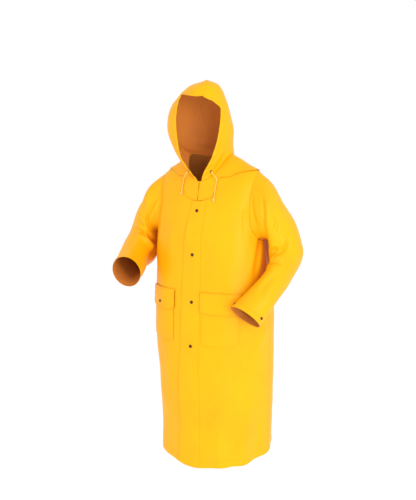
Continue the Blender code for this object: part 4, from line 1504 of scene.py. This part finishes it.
@dataclass
class Drawstring:
    """The hood's drawstring where it shows: two eyelets low on the casing, and a knotted end from each."""

    radius: float = 0.0020
    knot: float = 0.0017
    tail: float = 0.009  # how far the end stands out under its knot
    eyelet_radius: float = 0.0055
    eyelet_height: float = 0.0014
    # columns: side eyelet_ring eyelet_degrees hang_x hang_from hang_to lift
    ends: tuple = (
        ("left", 0.62, -60, 0.070, -0.058, -0.142, 0.0048),
        ("right", 0.62, -118, -0.080, -0.062, -0.122, 0.0028),
    )

    def front_at(self, body: BodyForm, x: float, z: float) -> tuple[np.ndarray, np.ndarray]:
        """The ring and the angle of the front's point at this x and height, by halving."""
        low, high = np.radians([-175.0]), np.radians([-5.0])
        for _ in range(30):
            mid = (low + high) / 2
            left = body.rest(body.ring_at(np.array([z]), mid), mid)[0, 0] < x
            low, high = (mid, high) if left else (low, mid)
        return body.ring_at(np.array([z]), low), low

    def tube(self, name: str, path: np.ndarray, radius: float, closed: bool) -> bpy.types.Object:
        """Makes a round tube along a path, as one curve."""
        curve = bpy.data.curves.new(name, "CURVE")
        curve.dimensions = "3D"
        line = curve.splines.new("POLY")
        line.points.add(len(path) - 1)
        for point, place in zip(line.points, path):
            point.co = (*place, 1)
        line.use_cyclic_u = closed
        line.use_smooth = True
        curve.bevel_depth = radius
        curve.bevel_resolution = 4
        curve.use_fill_caps = not closed
        made = bpy.data.objects.new(name, curve)
        bpy.context.scene.collection.objects.link(made)
        return made

    def build(self, body: BodyForm, hood: HoodForm, finishes: Finishes) -> None:
        """Makes the cords, their knots and the eyelets.

        Args:
            body: The form that the ends hang on.
            hood: The form that the eyelets are in.
            finishes: The coat's materials.
        """
        for side, ring, degrees, hang_x, hang_from, hang_to, lift in self.ends:
            at, angle = np.array([ring]), np.radians([float(degrees)])
            out = hood.out(at, angle)[0]
            seat = hood.cloth(at, angle)[0][0] + out * 0.0008
            start = seat + out * 0.0032
            hung = []
            for z in np.linspace(hang_from, hang_to, 8):
                row, around = self.front_at(body, hang_x, z)
                hung.append(body.cloth(row, around, lift)[0][0])
            over = start + out * 0.0060 + (hung[0] - start) * 0.45
            knots = np.array([seat, start, over, *hung])
            path = spline(knots, np.linspace(0, len(knots) - 1, 34))
            cord = self.tube(f"drawcord_{side}_end", path, self.radius, False)
            centre = path[-1] + (path[-2] - path[-1]) / np.linalg.norm(path[-2] - path[-1]) * self.tail
            facing = body.out(*self.front_at(body, hang_x, hang_to))[0]
            turn = np.linspace(0, 2 * math.pi, 49)[:-1]
            down = unit(path[-1] - path[-2])
            sideways = np.cross(facing, down)
            loop = self.radius * 0.8 * (
                np.outer(np.sin(turn) + 2 * np.sin(2 * turn), sideways)
                + np.outer(np.cos(turn) - 2 * np.cos(2 * turn), down)
                - np.outer(np.sin(3 * turn), facing)
            )
            knot = self.tube(f"drawcord_{side}_knot", centre + facing * 0.0010 + loop, self.knot, True)
            hand_over(cord, (finishes.cord,), "drawcord", f"drawcord_{side}")
            hand_over(knot, (finishes.cord,), "drawcord")
            length = float(np.linalg.norm(np.diff(path, axis=0), axis=1).sum())
            self.eyelet(side, seat, out, finishes)
            LOG.info("drawcord_%s_end: %.3f m", side, length)

    def eyelet(self, side: str, seat: np.ndarray, out: np.ndarray, finishes: Finishes) -> None:
        """Makes an eyelet: a rolled ring with a dark hole."""
        shares = (
            (0, 0.05), (0.46, 0.05), (0.50, 0.45), (0.58, 0.85), (0.70, 1.0), (0.84, 0.92), (0.96, 0.55),
            (1.0, 0.15), (0.98, 0.0), (0, 0),
        )
        profile = np.array([(a * self.eyelet_radius, b * self.eyelet_height) for a, b in shares])
        piece = turned(f"eyelet_{side}_ring", profile, seat - out * 0.0006, out)
        hand_over(piece, (finishes.metal,), "snap_metal", f"eyelet_{side}")


@dataclass
class Stitching:
    """Lockstitches along the seams, hems and turnings, as one joined piece of small raised bars."""

    pitch: float = 0.0042
    length: float = 0.0031
    width: float = 0.0008
    height: float = 0.00035

    def build(self, sheets: Sequence[ClothSheet], finishes: Finishes) -> None:
        """Lays the stitches.

        Args:
            sheets: The sheets whose borders are stitched.
            finishes: The coat's materials.
        """
        points, faces = [], []
        sections = ((-0.5, 0.0), (-0.3, 1.0), (0.3, 1.0), (0.5, 0.0))  # along the bar, and how thick
        for sheet in sheets:
            for edge in sheet.edges:
                if not edge.stitched:
                    continue
                line, normals = sheet.line(edge)
                if len(line) < 3:
                    continue
                steps = np.linalg.norm(np.diff(line, axis=0), axis=1)
                run = np.concatenate([[0], np.cumsum(steps)])
                places = np.arange(self.pitch, run[-1] - self.pitch, self.pitch)
                middle = np.stack([np.interp(places, run, line[:, k]) for k in range(3)], 1)
                ahead = np.stack([np.interp(places + 0.001, run, line[:, k]) for k in range(3)], 1) - middle
                out = unit(np.stack([np.interp(places, run, normals[:, k]) for k in range(3)], 1))
                ahead = unit(ahead - out * np.sum(ahead * out, axis=1, keepdims=True))
                side = np.cross(out, ahead)
                for m, a, o, s in zip(middle, ahead, out, side):
                    base = len(points)
                    for along, thick in sections:
                        centre = m + a * along * self.length + o * (0.00005 + self.height * 0.5 * thick)
                        w, h = self.width / 2 * (0.35 + 0.65 * thick), self.height / 2 * (0.3 + 0.7 * thick)
                        points += [centre + s * w, centre + o * h, centre - s * w, centre - o * h]
                    for k in range(3):
                        b, n = base + 4 * k, base + 4 * (k + 1)
                        faces += [(b + q, b + (q + 1) % 4, n + (q + 1) % 4, n + q) for q in range(4)]
                    faces.append((base + 3, base + 2, base + 1, base))
                    faces.append((base + 12, base + 13, base + 14, base + 15))
        piece = add_mesh("stitching", np.array(points), faces)
        hand_over(piece, (finishes.thread,), None)
        LOG.info("stitching: %d stitches", len(points) // 16)


# ---------------------------------------------------------------- the studio


@dataclass
class Studio:
    """A pale paper floor, soft flat light and the camera."""

    target: tuple[float, float, float] = (-0.014, -0.008, -0.35)
    azimuth: float = 30.0
    elevation: float = 9.5
    distance: float = 3.0
    lens: float = 53.35
    floor: float = -1.75

    def camera(self) -> None:
        """Makes the camera, ahead and to the wearer's left."""
        azimuth, elevation = math.radians(self.azimuth), math.radians(self.elevation)
        back = Vector((
            math.sin(azimuth) * math.cos(elevation),
            -math.cos(azimuth) * math.cos(elevation),
            math.sin(elevation),
        ))
        camera = bpy.data.objects.new("camera", bpy.data.cameras.new("camera"))
        camera.data.lens = self.lens
        camera.data.sensor_width = 36.0
        camera.location = Vector(self.target) + back * self.distance
        camera.rotation_euler = (-back).to_track_quat("-Z", "Y").to_euler()
        bpy.context.scene.collection.objects.link(camera)
        bpy.context.scene.camera = camera

    def light(self, name: str, place: Sequence[float], size: float, power: float, colour: str) -> None:
        """Hangs a square soft light that faces the coat."""
        lamp = bpy.data.objects.new(name, bpy.data.lights.new(name, "AREA"))
        lamp.data.size = size
        lamp.data.energy = power
        lamp.data.color = linear(colour)[:3]
        lamp.location = place
        aim = Vector((0.0, 0.0, -0.4)) - Vector(place)
        lamp.rotation_euler = aim.to_track_quat("-Z", "Y").to_euler()
        bpy.context.scene.collection.objects.link(lamp)

    def build(self) -> None:
        """Makes the floor, the lights and the world."""
        half = 14.0
        corners = np.array([(-half, -half, 0), (half, -half, 0), (half, half, 0), (-half, half, 0)], float)
        floor = add_mesh("paper_floor", corners + (0, 0, self.floor), [(0, 1, 2, 3)])
        floor.data.materials.append(StudioPaper().build())
        self.light("key", (3.3, -2.6, 0.5), 2.2, 84.0, "#FFFDF8")
        self.light("fill", (-1.8, -3.2, 0.4), 2.4, 8.0, "#FFF8EE")
        world = bpy.data.worlds.new("studio")
        world.use_nodes = True
        background = world.node_tree.nodes["Background"]
        background.inputs["Color"].default_value = (1.0, 1.0, 1.0, 1.0)
        background.inputs["Strength"].default_value = 1.0
        bpy.context.scene.world = world
        bpy.context.scene.view_settings.view_transform = "Standard"


def main() -> None:
    """Builds the camera, the coat piece by piece, and the studio."""
    logging.basicConfig(level=logging.INFO, format="%(name)s %(message)s")
    studio = Studio()
    studio.camera()
    finishes = Finishes()
    coat = CoatBody()
    hood = Hood()
    hood_form, hood_sheets = hood.build(coat.form.swell, finishes)
    Drawstring().build(coat.form, hood_form, finishes)
    sheets = coat.build(finishes)
    sleeves = Sleeves().build(coat.form, finishes)
    cape = Cape().build(coat.form, finishes)
    fly = StormFly().build(coat.form, coat.snap_heights, finishes)
    pockets = FlapPockets().build(coat.form, finishes)
    Snaps().build(coat, sleeves, finishes)
    Stitching().build([*sheets, *sleeves, *hood_sheets, cape, fly, *pockets], finishes)
    studio.build()


if __name__ == "__main__":
    main()
